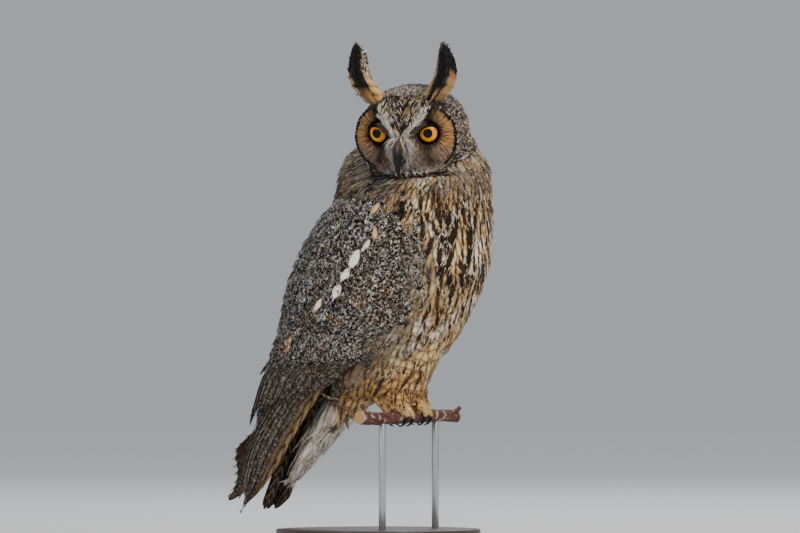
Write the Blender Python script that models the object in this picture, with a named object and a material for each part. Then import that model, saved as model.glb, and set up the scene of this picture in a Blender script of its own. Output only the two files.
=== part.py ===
# A long-eared owl at rest on a cut twig, life size, carried by a round base and two rods.
# Metres. It faces -Y, its right side is -X, and the origin is the middle of the base's underside.
# Inside the script a place on the body is (x, forward, up), with the feet near forward = 0.

import math

import bmesh
import bpy
import numpy as np
from mathutils import Matrix, Vector

GAP = 0.0003  # left between pieces that touch
FEET_FORWARD = 0.033  # from the base's middle to the feet, so that the weight is over the base
RING_SIDES = 32

BASE_RADIUS = 0.082
BASE_THICKNESS = 0.014
BASE_EDGE = 0.002
BASE_SIDES = 40
ROD_RADIUS = 0.0028
ROD_SPACING = 0.074
PERCH_LENGTH = 0.136
PERCH_RADIUS = 0.0055
PERCH_HEIGHT = 0.104
PERCH_FORWARD = -0.003
STUBS = ((-0.050, -0.6, 0.9, 0.013), (0.056, 0.7, 0.5, 0.011))  # x, lean, rise and length
STUB_RADII = (0.0026, 0.0023, 0.0021, 0.0022)

WING_TOP = 0.283
BED = 0.0122  # how deep a folded wing lies in the body's outline
ARM_DEPTH = 0.0027  # how far a wing's arm reaches down over the flight feathers
ARM_THINNEST = 0.0011
BED_CLEARANCE = 0.0005
VANE = 0.0006  # thickness of a feather
SHINGLE = 0.0011  # rise from one overlapping feather to the next
LEFT_WING_BACK = 0.021  # at its tip
LEFT_WING_RAISE = 0.008
WING_BEND_START = 0.150

HEAD_PLACE = (-0.012, 0.011, 0.334)
HEAD_TURN = math.radians(-73)
HEAD_NOD = math.radians(11)
DISC_HALF_WIDTH = 0.044
DISC_HALF_HEIGHT = 0.031
DISC_RIM = 0.020
DISC_MIDDLE = 0.037
SKULL = {"half_width": 0.0435, "up": 0.038, "down": 0.034, "back": 0.042, "middle": -0.002}
EYE_SPREAD = 0.020
EYE_HEIGHT = 0.0024
EYE_FORWARD = 0.0222
EYE_RADIUS = 0.0105
EYE_OUTWARD = math.radians(8)
LID_RADIUS = 0.0087
LID_THICKNESS = 0.0015
# forward and up from the head's middle, then half width and half height
BILL_UPPER = (
    (0.0300, -0.0065, 0.0062, 0.0064),
    (0.0400, -0.0050, 0.0060, 0.0062),
    (0.0470, -0.0095, 0.0050, 0.0055),
    (0.0500, -0.0160, 0.0038, 0.0044),
    (0.0495, -0.0230, 0.0022, 0.0027),
    (0.0462, -0.0300, 0.0004, 0.0005),
)
BILL_LOWER = (
    (0.0310, -0.0165, 0.0048, 0.0036),
    (0.0385, -0.0178, 0.0042, 0.0030),
    (0.0440, -0.0222, 0.0012, 0.0009),
)
NOSTRIL = (0.0056, 0.0440, -0.0072)
NOSTRIL_RADIUS = 0.0013

TUFTS = {
    "right": {"root": 0.0242, "lean": 0.0162, "length": 0.0460, "forward": 0.0205, "up": 0.0235},
    "left": {"root": 0.0170, "lean": 0.0150, "length": 0.0460, "forward": 0.0205, "up": 0.0235},
}
TUFT_BLADES = 7
BLADE_SHAPE = ((0.0, 0.6), (0.34, 1.0), (0.68, 0.92), (0.92, 0.50), (1.0, 0.14))
TUFT_HALF_WIDTH = 0.0092
TUFT_BLADE_WIDTH = 0.0078
TUFT_STEP = 0.00105
TUFT_MOUND = 0.0062

TAIL_ROOT = (-0.0965, 0.1210)
TAIL_TIP = (-0.1345, 0.0290)
TAIL_PAIRS = 6
TAIL_VANE_WIDTH = 0.0130
TAIL_STEP = 0.00095
TAIL_BLOCK = ((-0.014, 0.0115, 0.0068), (0.004, 0.0120, 0.0068), (0.013, 0.0118, 0.0066))
TAIL_VANE_SHAPE = ((0.0, 0.72), (0.45, 0.95), (0.86, 1.0), (0.96, 0.80), (1.0, 0.36))
# forward, up, half width and half depth of the soft feathers under the tail
UNDERTAIL = (
    (-0.0520, 0.1260, 0.0200, 0.0150),
    (-0.0660, 0.1165, 0.0205, 0.0140),
    (-0.0770, 0.1055, 0.0190, 0.0120),
    (-0.0870, 0.0930, 0.0165, 0.0098),
    (-0.0990, 0.0780, 0.0135, 0.0075),
    (-0.1100, 0.0640, 0.0095, 0.0050),
    (-0.1185, 0.0520, 0.0040, 0.0020),
)

FOOT_SPREAD = 0.0125
TOE_RADIUS = 0.0031
TALON_RADIUS = 0.0017
TALON_TIP = 0.0003
TALON_TIP_CLEARANCE = 0.0016
ANKLE_HEIGHT = 0.1165
# height, sideways, forward, half width and half depth
LEG = (
    (ANKLE_HEIGHT, 0.0125, -0.0035, 0.0072, 0.0080),
    (0.1200, 0.0128, -0.0060, 0.0088, 0.0105),
    (0.1250, 0.0132, -0.0095, 0.0108, 0.0140),
    (0.1300, 0.0140, -0.0130, 0.0120, 0.0160),
)
# height, half width and half depth
ANKLE = (
    (ANKLE_HEIGHT - GAP, 0.0070, 0.0078),
    (0.1135, 0.0078, 0.0088),
    (0.1105, 0.0078, 0.0085),
    (0.1080, 0.0068, 0.0070),
)
# where each toe turns to, and the turns round the twig where toe and claw start and end
TOES = ((-0.0045, 80, -4, -78), (0.0042, 80, -4, -78), (-0.0030, 100, 176, 252), (0.0052, 100, 176, 252))


class Lengthwise:
    """Sizes given at a few places along a body and read smoothly between them."""

    def __init__(self, *rows):
        self.rows = np.array(rows)
        self.slopes = np.gradient(self.rows, self.rows[:, 0], axis=0)

    def at(self, place):
        places = self.rows[:, 0]
        place = min(max(place, places[0]), places[-1])
        i = min(int(np.searchsorted(places, place, side="right")), len(places) - 1)
        span = places[i] - places[i - 1]
        t = (place - places[i - 1]) / span
        rise = t * t * (3 - 2 * t)
        level = self.rows[i - 1] * (1 - rise) + self.rows[i] * rise
        leave = self.slopes[i - 1] * span * t * (1 - t) ** 2
        arrive = self.slopes[i] * span * t * t * (t - 1)
        return (level + leave + arrive)[1:]


# height, forward, half width, half depth, then the angles of a wing's front and back edges
COAT = Lengthwise(
    (0.024, -0.163, 0.014, 0.005, 84, 160),
    (0.030, -0.1536, 0.019, 0.0153, 81, 166),
    (0.045, -0.1316, 0.025, 0.0354, 80, 171),
    (0.060, -0.1195, 0.030, 0.0455, 78, 174),
    (0.086, -0.1006, 0.035, 0.0574, 75, 176),
    (0.114, -0.0787, 0.040, 0.0735, 70, 176),
    (0.138, -0.0640, 0.049, 0.0785, 61, 175),
    (0.154, -0.0520, 0.056, 0.0762, 47, 174),
    (0.174, -0.0400, 0.064, 0.0770, 39, 174),
    (0.198, -0.0300, 0.069, 0.0803, 35.5, 173),
    (0.218, -0.0215, 0.070, 0.0812, 36, 168),
    (0.238, -0.0150, 0.068, 0.0782, 39, 154),
    (0.256, -0.0080, 0.065, 0.0730, 45, 140),
    (0.274, 0.0005, 0.0595, 0.0655, 62, 124),
    (0.286, 0.0020, 0.0545, 0.0644, 80, 112),
)
# height, forward, half width, half depth of the belly and rump under the wings
TRUNK = Lengthwise(
    (0.1172, -0.026, 0.0170, 0.024),
    (0.1200, -0.030, 0.0230, 0.034),
    (0.1245, -0.034, 0.0272, 0.042),
    (0.1300, -0.038, 0.0300, 0.049),
    (0.1400, -0.042, 0.0360, 0.0575),
    (0.1540, -0.042, 0.0430, 0.065),
    (0.1740, -0.036, 0.0520, 0.072),
)
# height, sideways, forward, half width, half depth, squareness of the section
NECK = Lengthwise(
    (0.2863, 0.0000, 0.0020, 0.0545, 0.0644, 2.0),
    (0.294, 0.0030, 0.0000, 0.0470, 0.0655, 2.1),
    (0.306, 0.0080, -0.0020, 0.0350, 0.0655, 2.2),
    (0.315, 0.0105, -0.0035, 0.0270, 0.0610, 2.3),
    (0.324, 0.0105, 0.0005, 0.0205, 0.0535, 2.2),
    (0.336, 0.0040, 0.0080, 0.0180, 0.0350, 2.0),
)


# A layer's knots are the height and the depth below the coat where its feathers bend.
FEATHERS = {
    "coverts": {
        "count": 10,
        "width": 0.0180,
        "knots": ((0.186, 0.0014), (0.164, 0.0014), (0.146, 0.0009), (0.130, 0.0007)),
        "edges": lambda height: (0.035, 0.975),
        "tips": lambda share: 0.150 - 0.015 * share,
    },
    "secondaries": {
        "count": 10,
        "width": 0.0165,
        "knots": ((0.180, 0.0051), (0.152, 0.0051), (0.125, 0.0034), (0.100, 0.0016)),
        "edges": lambda height: (mix(0.07, 0.13, eased((height - 0.11) / 0.1)), 0.95),
        "tips": lambda share: 0.126 - 0.028 * share,
    },
    "primaries": {
        "count": 8,
        "width": 0.0155,
        "knots": ((0.176, 0.0085), (0.137, 0.0084), (0.105, 0.0055), (0.072, 0.0019), (0.042, 0.0019)),
        "edges": lambda height: (
            mix(0.04, 0.14, eased((height - 0.060) / 0.060)),
            mix(0.88, 0.50, eased((height - 0.066) / 0.100)),
        ),
        "tips": lambda share: 0.0265 + 0.062 * max(0.0, share - 0.28) ** 1.1 + 0.05 * max(0.0, 0.25 - share),
    },
}
ARM_ROW = 0.0122
ARM_ROWS = 11
ROOM_ROWS = 15
ARM_SHARES = [0.03 + 0.095 * column for column in range(11)]


def clear_scene():
    for thing in list(bpy.data.objects):
        bpy.data.objects.remove(thing)


def finish(name, colour, roughness, metallic=0.0):
    """A material from an sRGB colour written as hex digits."""
    made = bpy.data.materials.new(name)
    made.use_nodes = True
    shader = made.node_tree.nodes["Principled BSDF"]
    parts = [int(colour[i : i + 2], 16) / 255 for i in (0, 2, 4)]
    linear = [part / 12.92 if part <= 0.04045 else ((part + 0.055) / 1.055) ** 2.4 for part in parts]
    shader.inputs["Base Color"].default_value = (*linear, 1.0)
    shader.inputs["Roughness"].default_value = roughness
    shader.inputs["Metallic"].default_value = metallic
    return made


def eased(share):
    share = min(max(share, 0.0), 1.0)
    return share * share * (3 - 2 * share)


def mix(start, end, share):
    return start + (end - start) * share


def world(place):
    """A body place (x, forward, up) in the part's own frame."""
    return Vector((place[0], -(place[1] + FEET_FORWARD), place[2]))


def head_matrix():
    turn = Matrix.Rotation(HEAD_TURN, 4, "Z") @ Matrix.Rotation(HEAD_NOD, 4, "X")
    return Matrix.Translation(world(HEAD_PLACE)) @ turn


def on_head(sideways, forward, up):
    """A place on the head, measured from its middle with the face looking ahead."""
    return head_matrix() @ Vector((sideways, -forward, up))


def solid(name, points, faces, material):
    """A closed mesh object with its faces pointing out."""
    mesh = bpy.data.meshes.new(name)
    mesh.from_pydata([tuple(point) for point in points], [], faces)
    shape = bmesh.new()
    shape.from_mesh(mesh)
    bmesh.ops.recalc_face_normals(shape, faces=shape.faces)
    if shape.calc_volume(signed=True) < 0:
        bmesh.ops.reverse_faces(shape, faces=shape.faces)
    shape.to_mesh(mesh)
    shape.free()
    made = bpy.data.objects.new(name, mesh)
    bpy.context.scene.collection.objects.link(made)
    made.data.materials.append(material)
    return made


def loft(name, rings, material):
    """Rings of equal count joined in order, each end closed by a fan about its middle."""
    sides = len(rings[0])
    points = [point for ring in rings for point in ring]
    faces = []
    for row in range(len(rings) - 1):
        for side in range(sides):
            after = (side + 1) % sides
            low, high = row * sides, (row + 1) * sides
            faces.append((low + side, low + after, high + after))
            faces.append((low + side, high + after, high + side))
    for row in (0, len(rings) - 1):
        middle = sum((Vector(point) for point in rings[row]), Vector()) / sides
        points.append(middle)
        for side in range(sides):
            faces.append((len(points) - 1, row * sides + side, row * sides + (side + 1) % sides))
    return solid(name, points, faces, material)


def tube(name, path, widths, heights, across, material, sides=12):
    """An oval rod along a path. across is the direction of its widths."""
    rings = []
    for i, spot in enumerate(path):
        ahead = (path[min(i + 1, len(path) - 1)] - path[max(i - 1, 0)]).normalized()
        up = ahead.cross(across).normalized()
        ring = []
        for side in range(sides):
            turn = math.tau * (side + 0.5) / sides
            ring.append(spot + across * (math.cos(turn) * widths[i]) + up * (math.sin(turn) * heights[i]))
        rings.append(ring)
    return loft(name, rings, material)


def sheet(name, outer, inner, material):
    """A closed plate between two grids of places, both split into triangles alike."""
    rows, wide = len(outer), len(outer[0])
    lift = rows * wide
    faces = []
    for row in range(rows - 1):
        for column in range(wide - 1):
            a = row * wide + column
            b, c, d = a + 1, a + wide + 1, a + wide
            faces += [(a, b, c), (a, c, d)]
            faces += [(lift + a, lift + c, lift + b), (lift + a, lift + d, lift + c)]
    border = list(range(wide - 1))
    border += [row * wide + wide - 1 for row in range(rows - 1)]
    border += [(rows - 1) * wide + column for column in range(wide - 1, 0, -1)]
    border += [row * wide for row in range(rows - 1, 0, -1)]
    for i, a in enumerate(border):
        b = border[(i + 1) % len(border)]
        faces += [(a, b, lift + b), (a, lift + b, lift + a)]
    points = [place for grid in (outer, inner) for row in grid for place in row]
    return solid(name, points, faces, material)


def vane(name, stations, up, material):
    """A thin feather. Each station is a row of places across it, and up is the way that it is thick."""
    half = up * (VANE / 2)
    outer = [[place + half for place in row] for row in stations]
    inner = [[place - half for place in row] for row in stations]
    return sheet(name, outer, inner, material)


def apply_modifiers(shape):
    graph = bpy.context.evaluated_depsgraph_get()
    result = bpy.data.meshes.new_from_object(shape.evaluated_get(graph))
    shape.modifiers.clear()
    old = shape.data
    shape.data = result
    bpy.data.meshes.remove(old)


def keep_largest(shape):
    """Leaves only the largest closed surface of a mesh."""
    body = bmesh.new()
    body.from_mesh(shape.data)
    left, groups = set(body.faces), []
    while left:
        waiting = [left.pop()]
        group = list(waiting)
        while waiting:
            face = waiting.pop()
            for edge in face.edges:
                for other in edge.link_faces:
                    if other in left:
                        left.remove(other)
                        group.append(other)
                        waiting.append(other)
        groups.append(group)
    groups.sort(key=lambda group: sum(face.calc_area() for face in group))
    spare = [face for group in groups[:-1] for face in group]
    bmesh.ops.delete(body, geom=spare, context="FACES")
    loose = [point for point in body.verts if not point.link_faces]
    bmesh.ops.delete(body, geom=loose, context="VERTS")
    body.to_mesh(shape.data)
    body.free()


def grown(shape, by):
    """A copy whose surface stands a little further out, to cut a neighbour with."""
    copy = bpy.data.objects.new(shape.name + "_room", shape.data.copy())
    bpy.context.scene.collection.objects.link(copy)
    body = bmesh.new()
    body.from_mesh(copy.data)
    body.normal_update()
    for point in body.verts:
        point.co += point.normal * (by * point.calc_shell_factor())
    body.to_mesh(copy.data)
    body.free()
    copy.hide_render = True
    copy.display_type = "WIRE"
    return copy


def boolean(shape, others, operation, solver="EXACT"):
    """Joins or cuts with a collection of closed meshes, which are then removed."""
    group = bpy.data.collections.new(shape.name + "_tools")
    bpy.context.scene.collection.children.link(group)
    for other in others:
        bpy.context.scene.collection.objects.unlink(other)
        group.objects.link(other)
    change = shape.modifiers.new("change", "BOOLEAN")
    change.operation = operation
    change.operand_type = "COLLECTION"
    change.collection = group
    change.solver = solver
    apply_modifiers(shape)
    for other in others:
        bpy.data.objects.remove(other)
    bpy.data.collections.remove(group)
    keep_largest(shape)
    return shape


def fuse(name, pieces):
    joined = boolean(pieces[0], pieces[1:], "UNION")
    joined.name = name
    return joined


def make_room(shape, *neighbours):
    """Cuts a node back to the gap from the nodes that it meets."""
    return boolean(shape, [grown(neighbour, GAP) for neighbour in neighbours], "DIFFERENCE")


def section(middle, half_width, half_depth, square=2.0, sides=28):
    """A level ring about a body place, from the front round by the left side."""
    ring = []
    for side in range(sides):
        turn = math.tau * side / sides
        x = math.copysign(abs(math.sin(turn)) ** (2 / square), math.sin(turn))
        y = math.copysign(abs(math.cos(turn)) ** (2 / square), math.cos(turn))
        ring.append((middle[0] + x * half_width, middle[1] + y * half_depth, middle[2]))
    return ring


def coat(height, angle, depth=0.0):
    """A body place on the outline of the plumage, or below it by depth. Angle 0 is the front."""
    forward, wide, deep = COAT.at(height)[:3]
    out = Vector((math.sin(angle) * deep, math.cos(angle) * wide)).normalized()
    x = math.sin(angle) * wide - out.x * depth
    return Vector((x, forward + math.cos(angle) * deep - out.y * depth, height))


def wing_angle(height, share):
    """The angle at a share of the way from a wing's front edge to its back edge."""
    front, back = COAT.at(height)[3:]
    return math.radians(mix(front, back, share))


def bed_depth(height, angle):
    """How far the trunk stays below the plumage where a wing lies on it."""
    front, back = wing_angle(height, 0), wing_angle(height, 1)
    share = (angle - front) / (back - front)
    slope = math.radians(mix(5, 16, eased((height - 0.150) / 0.030)))
    rise = eased((angle - front) / slope) * eased((WING_TOP + 0.001 - height) / 0.020)
    fall = 1 - eased((angle - back) / math.radians(7))
    behind = eased((share - 0.52) / 0.15) * eased((height - 0.165) / 0.020)
    return mix(BED, 0.0076, behind) * rise * fall


def torso_place(height, turn):
    outline = coat(height, turn if turn <= math.pi else math.tau - turn)
    outline.x *= 1 if turn <= math.pi else -1
    forward, wide, deep = TRUNK.at(height)
    own = Vector((math.sin(turn) * wide, forward + math.cos(turn) * deep, height))
    return own.lerp(outline, eased((height - 0.142) / 0.028))


def make_torso(material):
    rows = 18
    low, high = TRUNK.rows[0, 0], COAT.rows[-1, 0]
    rings = []
    for row in range(rows):
        height = mix(low, high, (row / (rows - 1)) ** 1.15)
        turns = [math.tau * side / RING_SIDES for side in range(RING_SIDES)]
        rings.append([world(torso_place(height, turn)) for turn in turns])
    torso = loft("torso", rings, material)
    heights = [WING_TOP + GAP] + [WING_TOP - 0.001 - ARM_ROW * row for row in range(ROOM_ROWS)]
    shares = [0.012] + ARM_SHARES + [0.998]
    rooms = []
    for side in (-1, 1):
        rows = [(height, shares, lambda h, s: -0.004, wing_bed) for height in heights]
        rooms.append(wing_plate("room", side, rows, material))
    return boolean(torso, rooms, "DIFFERENCE")


def make_neck(head, material):
    rows = 8
    low, high = NECK.rows[0, 0], NECK.rows[-1, 0]
    rings = []
    for row in range(rows):
        height = mix(low, high, row / (rows - 1))
        sideways, forward, wide, deep, square = NECK.at(height)
        rings.append([world(p) for p in section((sideways, forward, height), wide, deep, square)])
    return make_room(loft("neck", rings, material), head)


def rim_radius(turn, half_width, half_height, square):
    across, along = abs(math.cos(turn)) / half_width, abs(math.sin(turn)) / half_height
    return (across**square + along**square) ** (-1 / square)


def near_line(spot, start, end, width):
    """1 on a line and falling to 0 within about two widths of it."""
    along = end - start
    share = min(max((spot - start).dot(along) / along.length_squared, 0), 1)
    return math.exp(-(((spot - start - along * share).length / width) ** 2))


def face_forward(sideways, up, share):
    """How far ahead the face's surface is, share of the way out to the disc's rim."""
    spot = Vector((abs(sideways), up))
    ahead = mix(DISC_RIM, DISC_MIDDLE, (1 - share**2) ** 0.8)
    eye = (spot - Vector((EYE_SPREAD + 0.001, EYE_HEIGHT))).length
    ahead -= 0.0058 * math.exp(-((eye / 0.0125) ** 2))
    ahead += 0.0034 * near_line(spot, Vector((0.004, -0.002)), Vector((0.025, 0.020)), 0.0050)
    ahead += 0.0026 * near_line(spot, Vector((0.0, -0.020)), Vector((0.0, 0.004)), 0.0065)
    ahead += 0.0016 * math.exp(-(((share - 0.92) / 0.07) ** 2))
    return ahead


def make_head(material):
    """Rings about the line of sight: over the face to the disc's rim, then round the skull."""
    sides, face_rings, skull_rings = 34, 9, 6
    middle = Vector((0.0, -0.002))
    rings = []
    for row in range(1, face_rings + 1):
        share = row / face_rings
        ring = []
        for side in range(sides):
            turn = math.tau * side / sides
            reach = rim_radius(turn, DISC_HALF_WIDTH, DISC_HALF_HEIGHT, 2.25) * share
            sideways = math.cos(turn) * reach
            up = math.sin(turn) * reach + middle.y
            ring.append(on_head(sideways, face_forward(sideways, up, share), up))
        rings.append(ring)
    for row in range(1, skull_rings + 1):
        share = row / (skull_rings + 0.35)
        forward = mix(DISC_RIM, -SKULL["back"], 1 - math.cos(share * math.pi / 2))
        ring = []
        for side in range(sides):
            turn = math.tau * side / sides
            tall = SKULL["up"] if math.sin(turn) > 0 else SKULL["down"]
            long = SKULL["back"] + SKULL["middle"]
            slim = math.sqrt(max(0.0, 1 - ((forward - SKULL["middle"]) / (long + 0.004)) ** 2))
            skull = rim_radius(turn, SKULL["half_width"], tall, 2.05) * slim
            rim = rim_radius(turn, DISC_HALF_WIDTH, DISC_HALF_HEIGHT, 2.25)
            reach = mix(rim, skull, eased(share / 0.42))
            ring.append(on_head(math.cos(turn) * reach, forward, math.sin(turn) * reach + middle.y))
        rings.append(ring)
    head = loft("head", rings, material)
    lids = [make_lid(side, material) for side in (-1, 1)]
    return boolean(head, lids, "UNION")


def eye_matrix(side):
    place = Matrix.Translation((side * EYE_SPREAD, -EYE_FORWARD, EYE_HEIGHT))
    return head_matrix() @ place @ Matrix.Rotation(side * EYE_OUTWARD, 4, "Z")


def make_lid(side, material):
    """A soft ring round the eye, heavier above."""
    around, through = 16, 6
    ahead = math.sqrt((EYE_RADIUS + 0.0004) ** 2 - LID_RADIUS**2)
    points = []
    for step in range(around):
        turn = math.tau * step / around
        heavy = LID_THICKNESS * (1.15 + 0.45 * max(0.0, math.sin(turn)))
        for part in range(through):
            round_it = math.tau * part / through
            reach = LID_RADIUS + 0.0006 + math.cos(round_it) * heavy
            forward = ahead + math.sin(round_it) * heavy
            local = Vector((math.cos(turn) * reach, -forward, math.sin(turn) * reach))
            points.append(eye_matrix(side) @ local)
    faces = []
    for step in range(around):
        for part in range(through):
            a, b = step * through + part, step * through + (part + 1) % through
            c, d = (a + through) % len(points), (b + through) % len(points)
            faces += [(a, b, d), (a, d, c)]
    return solid("lid", points, faces, material)


def make_ball(name, matrix, radius, material, sides=14, rows=9):
    rings = []
    for row in range(1, rows):
        turn = math.pi * row / rows
        reach, forward = math.sin(turn) * radius, math.cos(turn) * radius
        ring = []
        for side in range(sides):
            about = math.tau * side / sides
            ring.append(matrix @ Vector((math.cos(about) * reach, -forward, math.sin(about) * reach)))
        rings.append(ring)
    ball = loft(name, rings, material)
    poles = [matrix @ Vector((0, -radius, 0)), matrix @ Vector((0, radius, 0))]
    for pole, point in zip(poles, list(ball.data.vertices)[-2:]):
        point.co = pole
    return ball


def make_eyes(head, material):
    for side, word in ((-1, "right"), (1, "left")):
        eye = make_ball(f"eye_{word}", eye_matrix(side), EYE_RADIUS, material)
        boolean(head, [grown(eye, GAP)], "DIFFERENCE")


def make_bill(head, material):
    """The hooked upper half with its nostrils, and the lower half under it."""
    across = (on_head(1, 0, 0) - on_head(0, 0, 0)).normalized()
    halves = []
    for name, rows in (("bill_upper", BILL_UPPER), ("bill_lower", BILL_LOWER)):
        path = [on_head(0, forward, up) for forward, up, wide, high in rows]
        widths, heights = [row[2] for row in rows], [row[3] for row in rows]
        halves.append(tube(name, path, widths, heights, across, material))
    upper, lower = halves
    nostrils = []
    for side in (-1, 1):
        place = Matrix.Translation(on_head(side * NOSTRIL[0], *NOSTRIL[1:]))
        nostrils.append(make_ball("nostril", place, NOSTRIL_RADIUS, material, 6, 3))
    boolean(upper, nostrils, "DIFFERENCE")
    make_room(lower, upper, head)
    make_room(upper, head)


def make_tuft(side, word, head, material):
    """Long blades, the middle one ahead of its neighbours, on a low mound beside the crown."""
    shape = TUFTS[word]
    blades = []
    for i in range(TUFT_BLADES):
        step = (i + 1) // 2 * (1 if i % 2 else -1)
        spread = step / (TUFT_BLADES // 2)
        length = shape["length"] * (1 - 0.16 * abs(spread) ** 1.4)
        stations = []
        for t, slim in BLADE_SHAPE:
            lean = shape["lean"] * math.sin(min(t, 0.7) / 0.7 * math.pi / 2)
            apart = spread * mix(TUFT_HALF_WIDTH, TUFT_HALF_WIDTH * 0.42, t)
            x = shape["root"] + lean + apart
            ahead = shape["forward"] - TUFT_STEP * i - 0.0065 * t * t
            edge = TUFT_BLADE_WIDTH / 2 * slim
            up = shape["up"] + length * t
            stations.append([on_head(side * (x + off), ahead, up) for off in (-edge, edge)])
        blades.append(vane("blade", stations, head_matrix().to_3x3() @ Vector((0, -1, 0)), material))
    deep = TUFT_STEP * (TUFT_BLADES - 1) / 2
    place = on_head(side * shape["root"], shape["forward"] - deep, shape["up"])
    size = Matrix.Diagonal((TUFT_HALF_WIDTH + 0.0024, deep + 0.0018, TUFT_MOUND, 1))
    turn = head_matrix().to_3x3().to_4x4()
    mound = make_ball("mound", Matrix.Translation(place) @ turn @ size, 1.0, material, 12, 8)
    make_room(fuse(f"ear_tuft_{word}", [mound] + blades), head)


def bend_left_wing(place):
    """The left wing's tip lies a little higher and further back than the right one's."""
    slide = eased((WING_BEND_START - place.z) / (WING_BEND_START - COAT.rows[0, 0]))
    return place + Vector((0, -LEFT_WING_BACK, LEFT_WING_RAISE)) * slide


def on_wing(side, height, share, depth):
    place = coat(height, wing_angle(height, share), depth)
    if side > 0:
        place = bend_left_wing(place)
    place.x *= side
    return world(place)


def wing_bed(height, share):
    return bed_depth(height, wing_angle(height, share))


def wing_plate(name, side, outline, material):
    """A curved plate lying on the wing. outline gives each row's height, shares and two depths."""
    outer, inner = [], []
    for height, shares, over, under in outline:
        outer.append([on_wing(side, height, share, over(height, share)) for share in shares])
        inner.append([on_wing(side, height, share, under(height, share)) for share in shares])
    return sheet(name, outer, inner, material)


def on_layer(side, knots, height, share, deeper):
    """A place in a layer of feathers, which runs straight from each knot to the next."""
    below = next((i for i in range(1, len(knots)) if knots[i][0] <= height), len(knots) - 1)
    (high, high_depth), (low, low_depth) = knots[below - 1], knots[below]
    top = on_wing(side, high, share, high_depth + deeper)
    return top.lerp(on_wing(side, low, share, low_depth + deeper), (high - height) / (high - low))


def wing_feather(side, layer, i, material):
    """One feather of a layer, tilted so that its front edge lies over the feather before it."""
    knots, wide = layer["knots"], layer["width"]
    tip = layer["tips"](i / (layer["count"] - 1))
    stops = [(height, 1.0) for height, depth in knots if height > tip + 0.014]
    stops[0] = (knots[0][0], 0.8)
    stops += [(tip + 0.0065, 0.78), (tip, 0.22)]
    stations = []
    for height, slim in stops:
        step = 0.05
        along = on_layer(side, knots, height, 0.45 + step, 0) - on_layer(side, knots, height, 0.45 - step, 0)
        arc = along.length / (2 * step)
        half = wide / 2 / arc
        front, back = layer["edges"](height)
        apart = (back - front - 2 * half) / (layer["count"] - 1)
        axis = front + half + apart * i
        tilt = SHINGLE / apart
        row = []
        for across in (-1, 0, 1):
            off = across * half * slim
            row.append(on_layer(side, knots, height, axis + off, tilt * off))
        stations.append(row)
    normal = on_wing(side, stops[1][0], axis, 0) - on_wing(side, stops[1][0], axis, 0.001)
    return vane("feather", stations, normal.normalized(), material)


def wing_root(side, layer, low, half, material):
    """The plate in which the feathers of a layer are rooted."""
    high, depth = layer["knots"][0]
    rows = []
    for row in range(3):
        height = mix(high + 0.012, low, row / 2)
        front, back = layer["edges"](height)
        shares = [mix(front, back, column / 8) for column in range(9)]
        rows.append((height, shares, lambda h, s: depth - half, lambda h, s: depth + half))
    return wing_plate("root", side, rows, material)


def make_wing(side, word, material):
    def arm_inside(height, share):
        deep = wing_bed(height, share) - BED_CLEARANCE
        return mix(min(ARM_DEPTH, deep), deep, eased((height - 0.234) / 0.012))

    def arm_outside(height, share):
        return min(0.0, arm_inside(height, share) - ARM_THINNEST)

    heights = [WING_TOP - 0.001 - ARM_ROW * row for row in range(ARM_ROWS)]
    rows = [(height, ARM_SHARES, arm_outside, arm_inside) for height in heights]
    roots = {
        "coverts": wing_plate("arm", side, rows, material),
        "secondaries": wing_root(side, FEATHERS["secondaries"], 0.166, 0.0009, material),
        "primaries": wing_root(side, FEATHERS["primaries"], 0.162, 0.0013, material),
    }
    for name, root in roots.items():
        layer = FEATHERS[name]
        feathers = [wing_feather(side, layer, i, material) for i in range(layer["count"])]
        node = "arm" if name == "coverts" else name
        fuse(f"wing_{word}_{node}", [root] + feathers)


def tail_place(x, along, out):
    """A place on the tail, along from its root and out towards the back, from its under face."""
    root, tip = Vector(TAIL_ROOT), Vector(TAIL_TIP)
    ahead = (tip - root).normalized()
    back = Vector((ahead.y, -ahead.x))
    spot = root + ahead * along + back * out
    return world((x, spot.x, spot.y))


def make_tail(torso, material):
    """Six pairs of feathers, the middle pair on top, rooted in a block under the rump."""
    length = (Vector(TAIL_TIP) - Vector(TAIL_ROOT)).length
    block = []
    for along, wide, high in TAIL_BLOCK:
        corners = ((-wide, 0.0002), (wide, 0.0002), (wide, high), (-wide, high))
        block.append([tail_place(x, along, out) for x, out in corners])
    pieces = [loft("tail", block, material)]
    up = (tail_place(0, 0, 1) - tail_place(0, 0, 0)).normalized()
    for pair in range(TAIL_PAIRS):
        for side in (-1, 1):
            layer = TAIL_PAIRS - pair + (1 if pair == 0 and side > 0 else 0)
            out = 0.0006 + TAIL_STEP * (layer - 1)
            spread = pair / (TAIL_PAIRS - 1)
            root_x = 0.0012 if pair == 0 else mix(0.0050, 0.0062, spread)
            tip_x = 0.0016 if pair == 0 else mix(0.0069, 0.0112, spread)
            reach = length * (1 - 0.07 * spread**2)
            stations = []
            for t, slim in TAIL_VANE_SHAPE:
                middle = side * mix(root_x, tip_x, t)
                half = TAIL_VANE_WIDTH / 2 * slim
                stations.append([tail_place(middle + off, reach * t, out) for off in (-half, half)])
            pieces.append(vane("feather", stations, up, material))
    make_room(fuse("tail", pieces), torso)


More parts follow.
